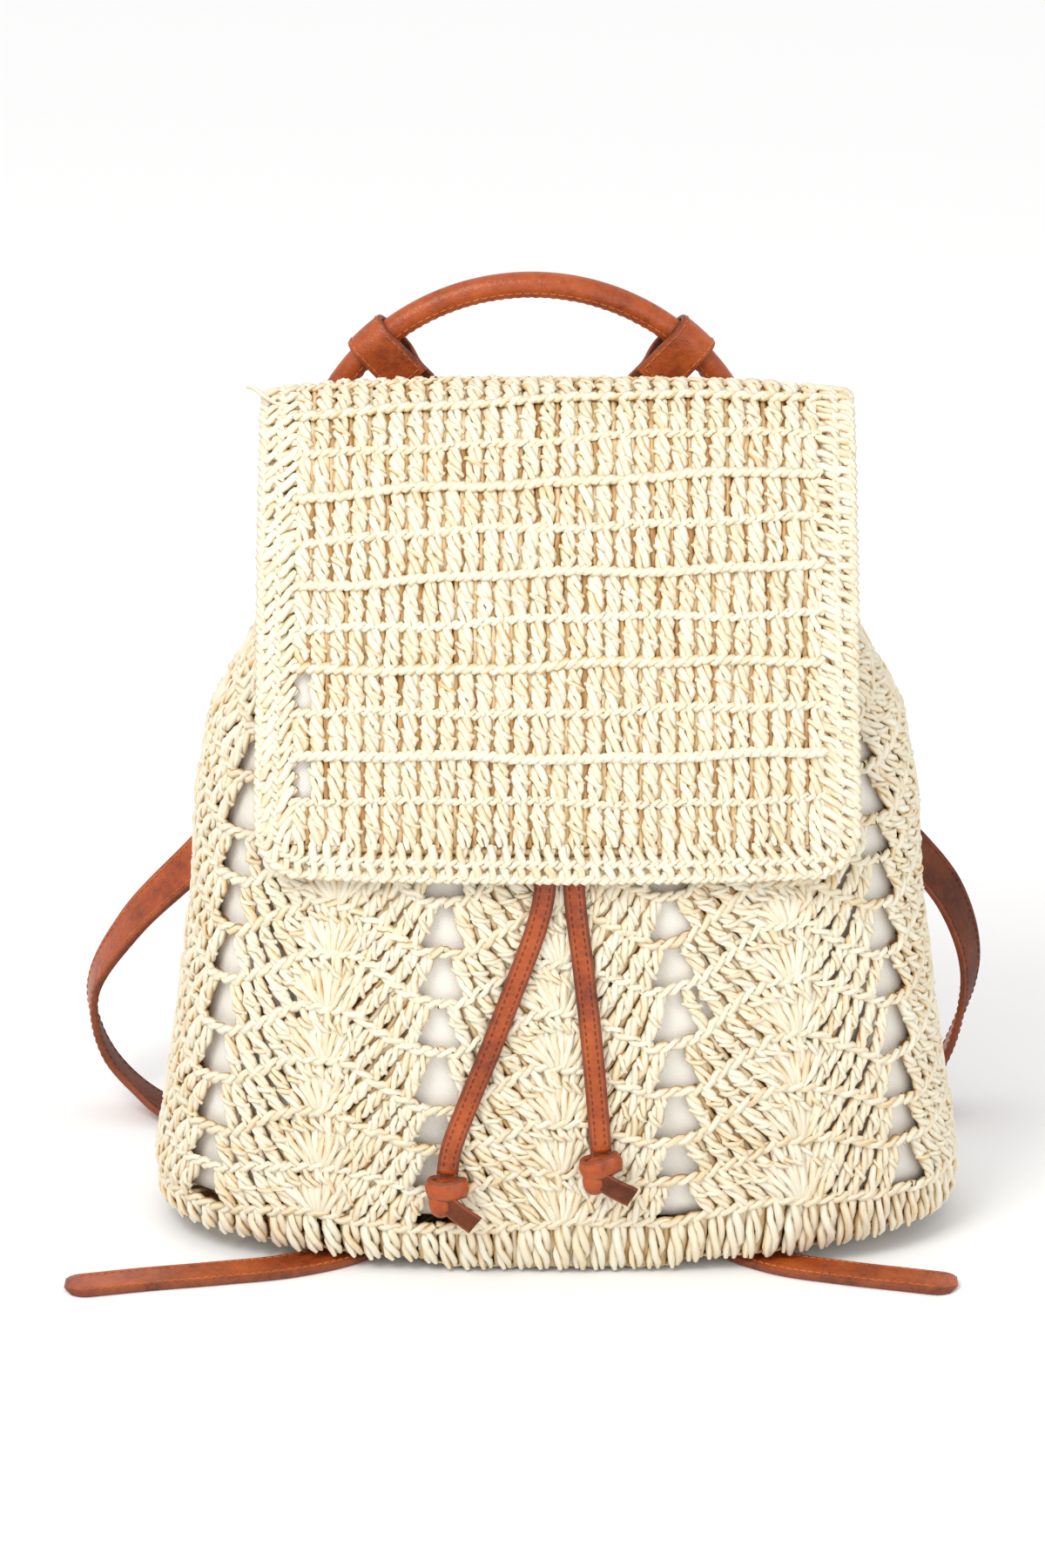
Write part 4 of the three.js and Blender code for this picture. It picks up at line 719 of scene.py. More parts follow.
def base_point(turn, share):
    """Points of the base's straw, a share of the way from its middle line to its outline."""
    spine = BASE_SPINE * HALF_WIDTH
    edge = body_point(turn, 0.0, 0.0)
    core = np.stack([np.clip(edge[..., 0] * 0.58, -spine, spine), edge[..., 1] * 0, edge[..., 2] * 0], -1)
    p = core + (edge - core) * share[..., None]
    wide, front, _ = section_at(0.0)
    out = (np.abs(p[..., 0] / wide) ** BODY_ROUNDNESS + np.abs(p[..., 1] / front) ** BODY_ROUNDNESS)
    p[..., 2] = base_underside(p[..., 0], out ** (1 / BODY_ROUNDNESS)) + STRAW_WALL / 2 + 0.6
    return p


def straw_base(material):
    """The base's straw, in rounds about a middle line."""
    yarns = Yarns()
    down = np.array([0.0, 0.0, -1.0])
    for inner, outer in zip(BASE_ROUNDS[:-1], BASE_ROUNDS[1:]):
        count = int(36 + 60 * outer)
        turn = ((np.arange(count) + 0.5) / count)[:, None] + np.zeros(5)
        share = np.linspace(inner, outer, 5)[None] + np.zeros((count, 1))
        centre = base_point(turn, share)
        yarns.rope(centre, np.zeros_like(centre) + down, sides=PLAIN_SIDES, **BASE_ROPE)
        ring = np.linspace(0, 1, count * 3 + 1)
        line = base_point(ring, np.full_like(ring, outer))[None]
        yarns.rope(line, np.zeros_like(line) + down, turns=count, pinch=np.ones(len(ring)), sides=PLAIN_SIDES,
                   **BASE_CHAIN)
    stand_for(yarns.make("straw_base", material), "base_panel")


def grid_mesh(name, points, material, uv_size, wrap=False):
    """A smooth sheet from a grid of points in millimetres, rows first."""
    rows, columns, _ = points.shape
    mesh = bpy.data.meshes.new(name)
    last = columns if wrap else columns - 1

    def at(i, j):
        return i * columns + j % columns

    faces = [(at(i, j), at(i, j + 1), at(i + 1, j + 1), at(i + 1, j))
             for i in range(rows - 1) for j in range(last)]
    mesh.from_pydata((points.reshape(-1, 3) * MM).tolist(), [], faces)
    uv = mesh.uv_layers.new(name="cloth")
    corners = [(j + dj, i + di) for i in range(rows - 1) for j in range(last)
               for di, dj in ((0, 0), (0, 1), (1, 1), (1, 0))]
    scaled = np.array(corners, float) * (uv_size[0] / columns, uv_size[1] / rows)
    uv.data.foreach_set("uv", scaled.astype(np.float32).ravel())
    mesh.materials.append(material)
    return add_piece(name, mesh)


LINING_SIZE = (780, 330)  # round the bag, and from its mouth to the middle of its floor
LINING_DEPTH = 5.9  # inside the body's surface
LINING_ROWS = 44
LINING_COLUMNS = 128
LINING_SLACK = 0.5
LINING_FLOOR_RINGS = (0.02, 0.3, 0.6, 0.85, 0.97)
FLAP_LINING_END = 3  # short of the flap's seam and lower edge
FLAP_LINING_EDGE = 4  # short of its sides
FLAP_LINING_LIFT = 0.1


def cloth_lining(material):
    """The lining bag, a little slack between the straw rows."""
    levels = np.linspace(LINING_FLOOR_HEIGHT, BODY_HEIGHT - 2, LINING_ROWS)
    turn = np.linspace(0, 1, LINING_COLUMNS, endpoint=False)
    turns, heights = np.meshgrid(turn, levels)
    waves = LINING_SLACK * np.sin(turns * 2 * math.pi * 13 + heights / 17) * np.sin(heights / 23 + turns * 31)
    wall = body_point(turns, heights, -LINING_DEPTH + waves)
    edge = body_point(turn, LINING_FLOOR_HEIGHT + 0 * turn, -LINING_DEPTH)
    floor = np.array([edge * (share, share, 1) for share in LINING_FLOOR_RINGS])
    piece = grid_mesh("cloth_lining", np.concatenate([floor, wall]), material, LINING_SIZE, wrap=True)
    stand_for(piece, "lining")


def cloth_flap_lining(material):
    along = np.linspace(FLAP_LINING_END, FLAP_LENGTH - FLAP_LINING_END, 70)
    share = np.linspace(-1, 1, 40)
    to_end = FLAP_LENGTH - FLAP_LINING_END - along
    rounding = np.clip(FLAP_CORNER_RADIUS - to_end, 0, FLAP_CORNER_RADIUS)
    cut = FLAP_CORNER_RADIUS - np.sqrt(FLAP_CORNER_RADIUS ** 2 - rounding ** 2)
    half = flap_half_width(along) - FLAP_LINING_EDGE - cut
    points = flap_point(half[:, None] * share, along[:, None], FLAP_LINING_LIFT)
    piece = grid_mesh("cloth_flap_lining", points, material, (FLAP_TOP_WIDTH, FLAP_LENGTH))
    stand_for(piece, "flap_lining")


# Leather, as in the part's source
STRAP_WIDTH = 18
STRAP_THICKNESS = 3
SEAM_GAP = 0.3
HANDLE_RADIUS = 90
HANDLE_DIAMETER = 10
HANDLE_SHIFT = -10
HANDLE_CENTRE_HEIGHT = 279
HANDLE_FIRST_ANGLE = 14  # degrees above level, where the arc ends
HANDLE_ARC_STEPS = 120
HANDLE_SIDES = 36
HANDLE_SEAM_AT = -0.75  # angle of its seam, from its inner side towards the front
HANDLE_SEAM_STITCHES = 0.34  # angle from the seam to the stitches on each side
HANDLE_SEAM_RIDGE = (0.16, 0.27)  # height as a share of the radius, and angle
HANDLE_SEAM_GROOVE = (0.1, 0.6, 0.12)  # depth as a share of the radius, angle from the seam, and angle
TONGUE_LENGTH = 26
TONGUE_SPLAY = 0.12  # how far the tongues lean outwards, for each mm down
TONGUE_HALF_WIDTH = 7
TONGUE_HALF_WALL = 1.5
TONGUE_GAP = 0.7  # from the lap
TONGUE_FLATTENS = (0.05, 0.55)  # of its length
TONGUE_STEPS = 14
TAB_WIDTH = 17
TAB_WALL = 2.4
TAB_LENGTH = 55
TAB_FOLD_LENGTH = 20
TAB_ANGLE = 47  # degrees above level, seen from the arc's centre
TAB_SINK = 0.2  # how much nearer the lap a layer's end lies than its middle
TAB_LEAVES_WRAP = (1.6, 0.82)  # out and back, as shares of the wrap's radius
TAB_LAYERS_MEET = 0.85  # where the layers lie flat on each other, as a share of the fold
TAB_STEP_DOWN = (4, 0.84)  # past the front layer's end, and as a share of the length
TAB_END_SEAM_INSET = 2.4
PATCH_WALL = 2.2
BACK_PATCH = (46, 44)
CORNER_PATCH = (50, 21)
BACK_PATCH_EASE = 2.3
CORNER_PATCH_EASE = 1.3
CORNER_PATCH_SHARE = 0.62
CORNER_PATCH_OVERLAP = 4
PATCH_CORNER = 4
PATCH_STEP = 3
PATCH_LEVELS = [(0.0, 0.0), (0.0, PATCH_WALL - 0.7), (0.25, PATCH_WALL - 0.25), (0.8, PATCH_WALL),
                (2.5, PATCH_WALL + 0.15)]  # inset and height of its face's rounded edge
PATCH_FACE_SHARES = (0.8, 0.55, 0.3, 0.02)  # rings towards its middle
PATCH_SEAM_INSET = 2.0
WALL_RUN = 26  # how far the straps reach up the wall
SLOPE_HEIGHT = 10  # above the wall's foot, where the wall's slope is taken
WALL_BOW = 0.6  # how far a strap lies off the wall, beyond the seam's gap
STRAP_ROWS = 150
STRAP_SEAM_INSET = 2.2
TAB_SEAM_INSET = 1.8

# Shoulder straps: out, behind, up and turn, as in the part's source
SHOULDER_LEFT = [
    (0.06, 0, 0.903, 0), (0.13, 0, 0.84, 0.02), (0.29, 0.06, 0.76, 0.1), (0.47, 0.25, 0.625, 0.25),
    (0.68, 0.42, 0.49, 0.4), (0.905, 0.53, 0.36, 0.55), (1.09, 0.58, 0.255, 0.72),
    (1.185, 0.6, 0.162, 0.9), (1.15, 0.57, 0.078, 1), (1.04, 0.46, 0.024, 1),
]
SHOULDER_RIGHT = [
    (0.06, 0, 0.903, 0), (0.14, 0, 0.84, 0.02), (0.33, 0.06, 0.765, 0.1), (0.52, 0.25, 0.63, 0.25),
    (0.7, 0.4, 0.5, 0.4), (0.865, 0.5, 0.395, 0.5), (1.005, 0.56, 0.3, 0.6), (1.06, 0.58, 0.2, 0.75),
    (1.02, 0.58, 0.1, 0.95), (0.95, 0.5, 0.03, 1),
]
STRAP_FLOOR_ROWS = [(31, 26, 0.7), (15, 12.5, 0.9)]
STRAP_FLOOR_LEAN = 1.14  # of its width backwards, for each mm outwards
STRAP_WALL_ROWS = [(2, 2.4), (8, WALL_BOW), (WALL_RUN, WALL_BOW)]
TAIL_ROWS_UP = [(WALL_RUN, WALL_BOW), (WALL_RUN / 2, WALL_BOW), (-1, 1.4)]  # height on the wall, and bow
TAIL_TUCK = [(0.1, -2), (0, -14)]  # the same from the floor, where the tail goes under the base
# Strap tails: out and ahead
TAIL_LEFT = [(0.505, -0.62), (0.44, -0.3), (0.405, 0.02), (0.42, 0.36), (0.51, 0.66), (0.66, 0.86),
             (0.84, 0.965), (1.02, 1.05), (1.16, 1.13)]
TAIL_RIGHT = [(0.49, -0.62), (0.415, -0.3), (0.375, 0.02), (0.385, 0.34), (0.45, 0.62), (0.56, 0.83),
              (0.7, 0.95), (0.84, 1.04), (0.935, 1.1)]

# The laces' routes in metres, the same points as in the part's source
LACE_LEFT_POINTS = [
    (-0.0054, -0.025, 0.2834),
    (-0.0056, -0.0324, 0.27),
    (-0.0056, -0.043, 0.248),
    (-0.0055, -0.0493, 0.2317),
    (-0.0054, -0.0551, 0.215),
    (-0.0052, -0.059, 0.2024),
    (-0.005, -0.0623, 0.19),
    (-0.0046, -0.0657, 0.1763),
    (-0.005, -0.0686, 0.163),
    (-0.0073, -0.0707, 0.1523),
    (-0.0106, -0.0724, 0.142),
    (-0.0188, -0.0752, 0.12),
    (-0.027, -0.0763, 0.0976),
    (-0.035, -0.0756, 0.0766),
    (-0.0416, -0.0745, 0.057),
    (-0.0432, -0.0743, 0.0466),
]
LACE_RIGHT_POINTS = [
    (0.0054, -0.025, 0.2834),
    (0.0056, -0.0324, 0.27),
    (0.0058, -0.043, 0.248),
    (0.0059, -0.0493, 0.2317),
    (0.006, -0.0551, 0.215),
    (0.0061, -0.059, 0.2024),
    (0.0062, -0.0623, 0.19),
    (0.0062, -0.0656, 0.1766),
    (0.0066, -0.0686, 0.163),
    (0.008, -0.0711, 0.1495),
    (0.0098, -0.0732, 0.136),
    (0.0113, -0.0748, 0.1227),
    (0.0128, -0.0759, 0.1095),
    (0.0152, -0.0762, 0.083),
    (0.0168, -0.075, 0.062),
    (0.0172, -0.0746, 0.0564),
]


def back_surface(x, z):
    """How far behind the middle the body's back lies."""
    wide, _, back = section_at(z)
    return back * (1 - np.minimum(1, np.abs(x) / wide) ** BODY_ROUNDNESS) ** (1 / BODY_ROUNDNESS)


def lap_outer(z):
    """Outer face of the flap's lap on the back at a height, or of its lowest part below that."""
    lap = FLAP_PROFILE[:LAP_STEPS]
    return np.interp(z, lap[:, 1], lap[:, 0]) + FLAP_WALL


FACE_SIDES = 6  # of a strap's section, on its domed face
CORNER_SIDES = 3
BACK_SIDE = FACE_SIDES + 1 + 2 * CORNER_SIDES


def rounded_section(width, thickness, crown=0.25, edge=0.75):
    """A strap's section as (across, out) pairs: rounded edges and a slightly domed face."""
    half = width / 2
    face = thickness / 2
    corner = min(edge, face)
    arc = np.linspace(0, math.pi / 2, CORNER_SIDES + 1)
    inset = half - corner
    top = [(x, face + crown * (1 - (x / inset) ** 2)) for x in np.linspace(-inset, inset, FACE_SIDES + 1)]
    right = [(inset + corner * math.sin(a), face - corner + corner * math.cos(a)) for a in arc[1:]]
    lower = [(inset + corner * math.cos(a), -face + corner - corner * math.sin(a)) for a in arc]
    half_round = right + lower
    return np.array(top + half_round + [(-x, n) for x, n in half_round[::-1]])


def strap_layer(j):
    """The material of a strap's side j: grain on the domed face, painted edges, flesh on the back, darkened
    further with painted shade.
    """
    if j < FACE_SIDES:
        return 0
    return 2 if j == BACK_SIDE else 1


BACKWARDS = np.array([0.0, 1.0, 0.0])


def swept(name, centre, across, section, narrow=None):
    """A leather strip swept along a centre line. across gives the direction of its width at each place."""
    tangent = unit(np.gradient(centre, axis=0))
    across = unit(across - tangent * np.sum(across * tangent, axis=1, keepdims=True))
    outward = np.cross(tangent, across)
    scale = np.ones(len(centre)) if narrow is None else narrow
    rings = (centre[:, None, :] + (section[:, 0] * scale[:, None])[..., None] * across[:, None, :]
             + (section[:, 1] * np.clip(scale[:, None] * 1.6, 0, 1))[..., None] * outward[:, None, :])
    rows, sides, _ = rings.shape
    points = np.concatenate([rings.reshape(-1, 3), rings[:1].mean(axis=1), rings[-1:].mean(axis=1)])
    around = [(j, (j + 1) % sides) for j in range(sides)]
    faces = [(row + j, row + k, row + sides + k, row + sides + j)
             for row in range(0, (rows - 1) * sides, sides) for j, k in around]
    first, last = rows * sides, rows * sides + 1
    end = (rows - 1) * sides
    faces += [(first, k, j) for j, k in around]
    faces += [(last, end + j, end + k) for j, k in around]
    mesh = bpy.data.meshes.new(name)
    mesh.from_pydata((points * MM).tolist(), [], faces)
    for material in (LEATHER, EDGE, FLESH_AND_PAINTED_SHADE):
        mesh.materials.append(material)
    layers = [strap_layer(j) for j in range(sides)] * (rows - 1) + [1] * (2 * sides)
    mesh.polygons.foreach_set("material_index", np.array(layers, dtype=np.int32))
    mesh.update()
    return add_piece(name, mesh), across, outward


class Thread(Yarns):
    """Stitches of thread, each a short tube sunk into the leather."""

    def run(self, line, outward, pitch=3.1, stitch=2.3, radius=0.34, sink=0.05):
        length = lengths_along(line)
        count = max(1, int(length[-1] / pitch))
        starts = (np.arange(count) + 0.5) / count * length[-1] - stitch / 2
        t = np.linspace(0, 1, 4)
        at = starts[:, None] + t * stitch
        place = np.stack([np.interp(at, length, line[:, n]) for n in range(3)], -1)
        out = unit(np.stack([np.interp(at, length, outward[:, n]) for n in range(3)], -1))
        lift = radius * (0.9 * np.sin(math.pi * t) - 0.35) - sink
        centre = place + out * lift[:, None]
        self.add(centre, out, np.full(centre.shape[:2], radius), squash=1.0, sides=4)


def stitched_strip(name, centre, across, width, thickness, thread, seam_inset, narrow=None, crown=0.25,
                   trim=3.0, under_thread=None):
    """A leather strip with a line of stitches near each edge of its face, and of its underside if asked."""
    section = rounded_section(width, thickness, crown)
    piece, across, outward = swept(name, centre, across, section, narrow)
    length = lengths_along(centre)
    inside = (length > trim) & (length < length[-1] - trim)
    for face, used in ((1, thread), (-1, under_thread)):
        for offset in (seam_inset - width / 2, width / 2 - seam_inset) if used else ():
            rise = thickness / 2 + (crown * (1 - (2 * offset / width) ** 2) if face > 0 else 0)
            scale = 1.0 if narrow is None else narrow[inside][:, None]
            line = centre[inside] + across[inside] * offset * scale + face * outward[inside] * rise
            used.run(line, face * outward[inside])
    stand_for_leather(piece)


def strap_lines(rows, count):
    data = smooth_path([[*at, *width] for at, width in rows], count)
    return data[:, :3], data[:, 3:]


def wall_foot(side, from_middle):
    """The wall's foot at a corner patch: its height, a strap's width direction and places on the wall."""
    x = CORNER_PATCH_SHARE * HALF_WIDTH + from_middle
    inner, outer = x - STRAP_WIDTH / 2, x + STRAP_WIDTH / 2
    lower = float(base_underside(x, 1)) + STRAW_WALL
    probe = lower + SLOPE_HEIGHT
    slope = (back_surface(outer, probe) - back_surface(inner, probe)) / STRAP_WIDTH

    def at(z, bow):
        return np.array([side * x, back_surface(x, z) + SEAM_GAP + STRAP_THICKNESS / 2 + bow, z])

    return lower, np.array([side, slope, 0.0]), at


def shoulder_strap(name, side, route, thread, under_thread):
    deep = float(np.interp(0.3, SECTIONS[:, 0], SECTIONS[:, 3])) * HALF_DEPTH
    places = []
    for i, (out, behind, up, _) in enumerate(route):
        share = i / (len(route) - 1)
        shift = side * HANDLE_SHIFT * (1 - float(smooth(0, 0.5, share)))
        z = up * BODY_HEIGHT
        on_lap = lap_outer(z) + SEAM_GAP * 4 + STRAP_THICKNESS / 2
        part = float(smooth(0.2, 0.5, share))
        depth = on_lap + (deep - on_lap) * part
        places.append(np.array([side * (out * HALF_WIDTH + shift), depth + behind * HALF_DEPTH, z]))
    rows = []
    for i, place in enumerate(places):
        along = places[min(i + 1, len(places) - 1)] - places[max(i - 1, 0)]
        along = along * (1, 0, 1)
        along = along / np.linalg.norm(along)
        quarter = route[i][3] * math.pi / 2
        in_plane = np.array([-along[2] * side, 0, along[0] * side]) * math.cos(quarter)
        rows.append((place, in_plane + (0, math.sin(quarter), 0)))
    lower, foot_width, foot = wall_foot(side, CORNER_PATCH[0] / 4)
    wall = foot(lower, 0)
    floor_width = unit(np.array([-side, STRAP_FLOOR_LEAN, 0.0]))
    for outwards, back, up in STRAP_FLOOR_ROWS:
        place = wall + (side * outwards, back, 0)
        place[2] = STRAP_THICKNESS / 2 + up
        rows.append((place, floor_width))
    for up, bow in STRAP_WALL_ROWS:
        rows.append((foot(lower + up, bow), -unit(foot_width)))
    centre, across = strap_lines(rows, STRAP_ROWS)
    stitched_strip(name, centre, -across, STRAP_WIDTH, STRAP_THICKNESS - 0.3, thread, STRAP_SEAM_INSET,
                   under_thread=under_thread)


def strap_tail(name, side, route, thread):
    floor = STRAP_THICKNESS / 2
    places = [np.array([side * out * HALF_WIDTH, -ahead * HALF_DEPTH, floor]) for out, ahead in route]
    lower, foot_width, foot = wall_foot(side, -CORNER_PATCH[0] / 4)
    rows = [(foot(lower + up, bow), unit(foot_width)) for up, bow in TAIL_ROWS_UP]
    rows += [(foot(floor + up, bow), unit(foot_width)) for up, bow in TAIL_TUCK]
    for i, place in enumerate(places):
        along = unit(places[min(i + 1, len(places) - 1)] - places[max(i - 1, 0)])
        rows.append((place, np.array([-along[1], along[0], 0])))
    tip = unit(places[-1] - places[-2]) * STRAP_WIDTH / 2 * 0.97
    rows.append((places[-1] + tip, rows[-1][1]))
    centre, across = strap_lines(rows, STRAP_ROWS)
    past = np.linalg.norm(centre - places[-1] - tip, axis=1)
    reach = np.clip(1 - past / (STRAP_WIDTH / 2), 0, 1)
    narrow = np.sqrt(np.clip(1 - reach ** 2.2, 0.002, 1))
    stitched_strip(name, centre, across, STRAP_WIDTH, STRAP_THICKNESS - 0.2, thread, STRAP_SEAM_INSET, narrow,
                   trim=6)


def handle_point(angle, side=1):
    """The handle's middle at an angle above level, seen from its arc's centre."""
    depth = lap_outer(HANDLE_CENTRE_HEIGHT) + SEAM_GAP * 2 + TAB_WALL + HANDLE_DIAMETER / 2
    return (HANDLE_SHIFT + side * HANDLE_RADIUS * math.cos(angle), depth,
            HANDLE_CENTRE_HEIGHT + HANDLE_RADIUS * math.sin(angle))


def handle_stations():
    """Places along the handle: x, y and z of its middle, and half its width and half its depth there."""
    tube = HANDLE_DIAMETER / 2
    first = math.radians(HANDLE_FIRST_ANGLE)
    _, depth, leg_z = handle_point(first)
    flat_depth = lap_outer(leg_z - TONGUE_LENGTH) + TONGUE_GAP + TONGUE_HALF_WALL

    def leg(side, down):
        flat = float(smooth(*TONGUE_FLATTENS, down))
        return (HANDLE_SHIFT + side * (HANDLE_RADIUS * math.cos(first) + down * TONGUE_LENGTH * TONGUE_SPLAY),
                depth + (flat_depth - depth) * flat, leg_z - down * TONGUE_LENGTH,
                tube + (TONGUE_HALF_WIDTH - tube) * flat, tube + (TONGUE_HALF_WALL - tube) * flat)

    downs = np.linspace(1, 0.08, TONGUE_STEPS)
    arc = [(*handle_point(angle), tube, tube)
           for angle in np.linspace(first, math.pi - first, HANDLE_ARC_STEPS)]
    return np.array([leg(1, down) for down in downs] + arc + [leg(-1, down) for down in downs[::-1]])


def rolled_handle(thread):
    """The handle: a rolled tube whose seam runs along its inner front side, with flattened ends."""
    rows = handle_stations()
    centre = rows[:, :3]
    inwards = unit(np.cross(unit(np.gradient(centre, axis=0)), BACKWARDS))
    turn = np.linspace(0, 2 * math.pi, HANDLE_SIDES, endpoint=False)
    from_seam = np.abs((turn - HANDLE_SEAM_AT + math.pi) % (2 * math.pi) - math.pi)
    ridge, ridge_angle = HANDLE_SEAM_RIDGE
    groove, groove_at, groove_angle = HANDLE_SEAM_GROOVE
    seam = 1 + ridge * np.exp(-(from_seam / ridge_angle) ** 2)
    seam = seam - groove * np.exp(-((from_seam - groove_at) / groove_angle) ** 2)
    wide = rows[:, 3, None] * np.cos(turn) * seam
    deep = rows[:, 4, None] * np.sin(turn)
    rings = centre[:, None] + wide[..., None] * inwards[:, None] + deep[..., None] * BACKWARDS
    stand_for_leather(grid_mesh("leather_handle", rings, LEATHER, (30, 300), wrap=True))
    middle = slice(TONGUE_STEPS + 2, -TONGUE_STEPS - 2)
    for lean in (HANDLE_SEAM_AT - HANDLE_SEAM_STITCHES, HANDLE_SEAM_AT + HANDLE_SEAM_STITCHES):
        out = unit(inwards * math.cos(lean) + BACKWARDS * math.sin(lean))[middle]
        thread.run(centre[middle] + out * HANDLE_DIAMETER / 2 * 1.02, out, pitch=3.4, radius=0.3)


def tab_side_view():
    """A tab's middle line round the handle, as places inwards and backwards from the handle's middle."""
    wrap = HANDLE_DIAMETER / 2 + SEAM_GAP + TAB_WALL / 2
    sewn = -(SEAM_GAP + TAB_WALL / 2 + HANDLE_DIAMETER / 2)
    fold = sewn - TAB_SINK
    arc = [(wrap * math.cos(turn), wrap * math.sin(turn))
           for turn in -math.pi / 2 - np.linspace(0, math.pi, 9)]
    return fold, smooth_path([
        (TAB_FOLD_LENGTH, fold), (wrap, -wrap), *arc, (wrap * TAB_LEAVES_WRAP[0], wrap * TAB_LEAVES_WRAP[1]),
        (TAB_FOLD_LENGTH * TAB_LAYERS_MEET, fold + TAB_WALL + SEAM_GAP * 2),
        (TAB_FOLD_LENGTH + TAB_STEP_DOWN[0], fold + TAB_WALL + SEAM_GAP),
        (TAB_LENGTH * TAB_STEP_DOWN[1], sewn + TAB_SINK), (TAB_LENGTH, sewn)], 120)


def handle_tab(name, side, thread):
    """A tab folded round the handle, with its edges stitched and its front layer sewn across its end."""
    fold, path = tab_side_view()
    angle = math.radians(TAB_ANGLE)
    inwards = np.array([-side * math.cos(angle), 0, -math.sin(angle)])
    start = np.array(handle_point(angle, side))
    centre = start + path[:, :1] * inwards + path[:, 1:] * BACKWARDS
    width = np.cross(BACKWARDS, inwards)
    across = np.zeros_like(centre) + width
    probe = np.cross(unit(np.gradient(centre, axis=0)), unit(across))
    across = across * (1 if probe[2, 1] < 0 else -1)
    stitched_strip(name, centre, across, TAB_WIDTH, TAB_WALL, thread, TAB_SEAM_INSET, crown=0.3, trim=2)
    edge = TAB_WIDTH / 2 - TAB_SEAM_INSET
    end = start + (TAB_FOLD_LENGTH - TAB_END_SEAM_INSET) * inwards + (fold - TAB_WALL / 2 - 0.35) * BACKWARDS
    line = end + np.linspace(-edge, edge, 12)[:, None] * width
    thread.run(line, np.zeros_like(line) - BACKWARDS)


def plate_outline(width, height):
    """Points round a plate, each the centre of its corner's rounding and the direction outwards."""
    outline = []
    for quarter, (right, up) in enumerate(((1, 1), (-1, 1), (-1, -1), (1, -1))):
        x, z = right * (width / 2 - PATCH_CORNER), up * (height / 2 - PATCH_CORNER)
        turns = np.linspace(0, math.pi / 2, 6) + quarter * math.pi / 2
        outline += [(x, z, math.cos(turn), math.sin(turn)) for turn in turns]
    outline = np.array(outline)
    dense = []
    for a, b in zip(outline, np.roll(outline, -1, axis=0)):
        steps = max(1, int(np.hypot(*(b[:2] - a[:2])) / PATCH_STEP))
        dense += [a + (b - a) * n / steps for n in range(steps)]
    return np.array(dense)


def leather_plate(name, place, width, height, thread):
    """A patch with rounded corners and stitches round it. place puts (across, up, out) on the bag."""
    outline = plate_outline(width, height)

    def ring(inset, out, share=1.0):
        x, z = (outline[:, n] + outline[:, n + 2] * (PATCH_CORNER - inset) for n in range(2))
        return place(x * share, z * share, out)

    rings = [ring(inset, out) for inset, out in PATCH_LEVELS]
    rings += [ring(*PATCH_LEVELS[-1], share) for share in PATCH_FACE_SHARES]
    stand_for_leather(grid_mesh(name, np.array(rings), LEATHER, (width, height), wrap=True))
    line, above = (ring(PATCH_SEAM_INSET, PATCH_WALL + out) for out in (0.1, 1.1))
    line, above = np.vstack([line, line[:1]]), np.vstack([above, above[:1]])
    thread.run(line, unit(above - line))


def all_patches(thread):
    rise = STRAP_THICKNESS + SEAM_GAP * 2

    def on_lap(x, up, out):
        z = HANDLE_CENTRE_HEIGHT + up
        return np.stack([HANDLE_SHIFT + x, lap_outer(z) + rise + BACK_PATCH_EASE + out, z], -1)

    leather_plate("leather_back_patch", on_lap, *BACK_PATCH, thread)
    middle = CORNER_PATCH_SHARE * HALF_WIDTH
    top = float(base_underside(middle, 1)) + STRAW_WALL + WALL_RUN + CORNER_PATCH_OVERLAP
    for name, side in (("leather_corner_patch_left", -1), ("leather_corner_patch_right", 1)):
        def on_corner(x, up, out, side=side):
            px = side * middle + x
            z = top - CORNER_PATCH[1] / 2 + up
            return np.stack([px, back_surface(px, z) + rise + CORNER_PATCH_EASE + out, z], -1)

        leather_plate(name, on_corner, *CORNER_PATCH, thread)


def drawstring_strip():
    """The drawstring round the neck. Its two ends meet the laces at the front."""
    turn = np.linspace(*DRAWSTRING_SPAN, DRAWSTRING_STEPS)
    centre = body_point(turn, (CHANNEL_LOW + CHANNEL_HIGH) / 2, SEAM_GAP + LACE_THICKNESS / 2)
    across = np.zeros_like(centre) + (0, 0, 1.0)
    section = rounded_section(LACE_WIDTH, LACE_THICKNESS - 0.4, 0.2, 0.9)
    stand_for_leather(swept("leather_drawstring", centre, across, section)[0])


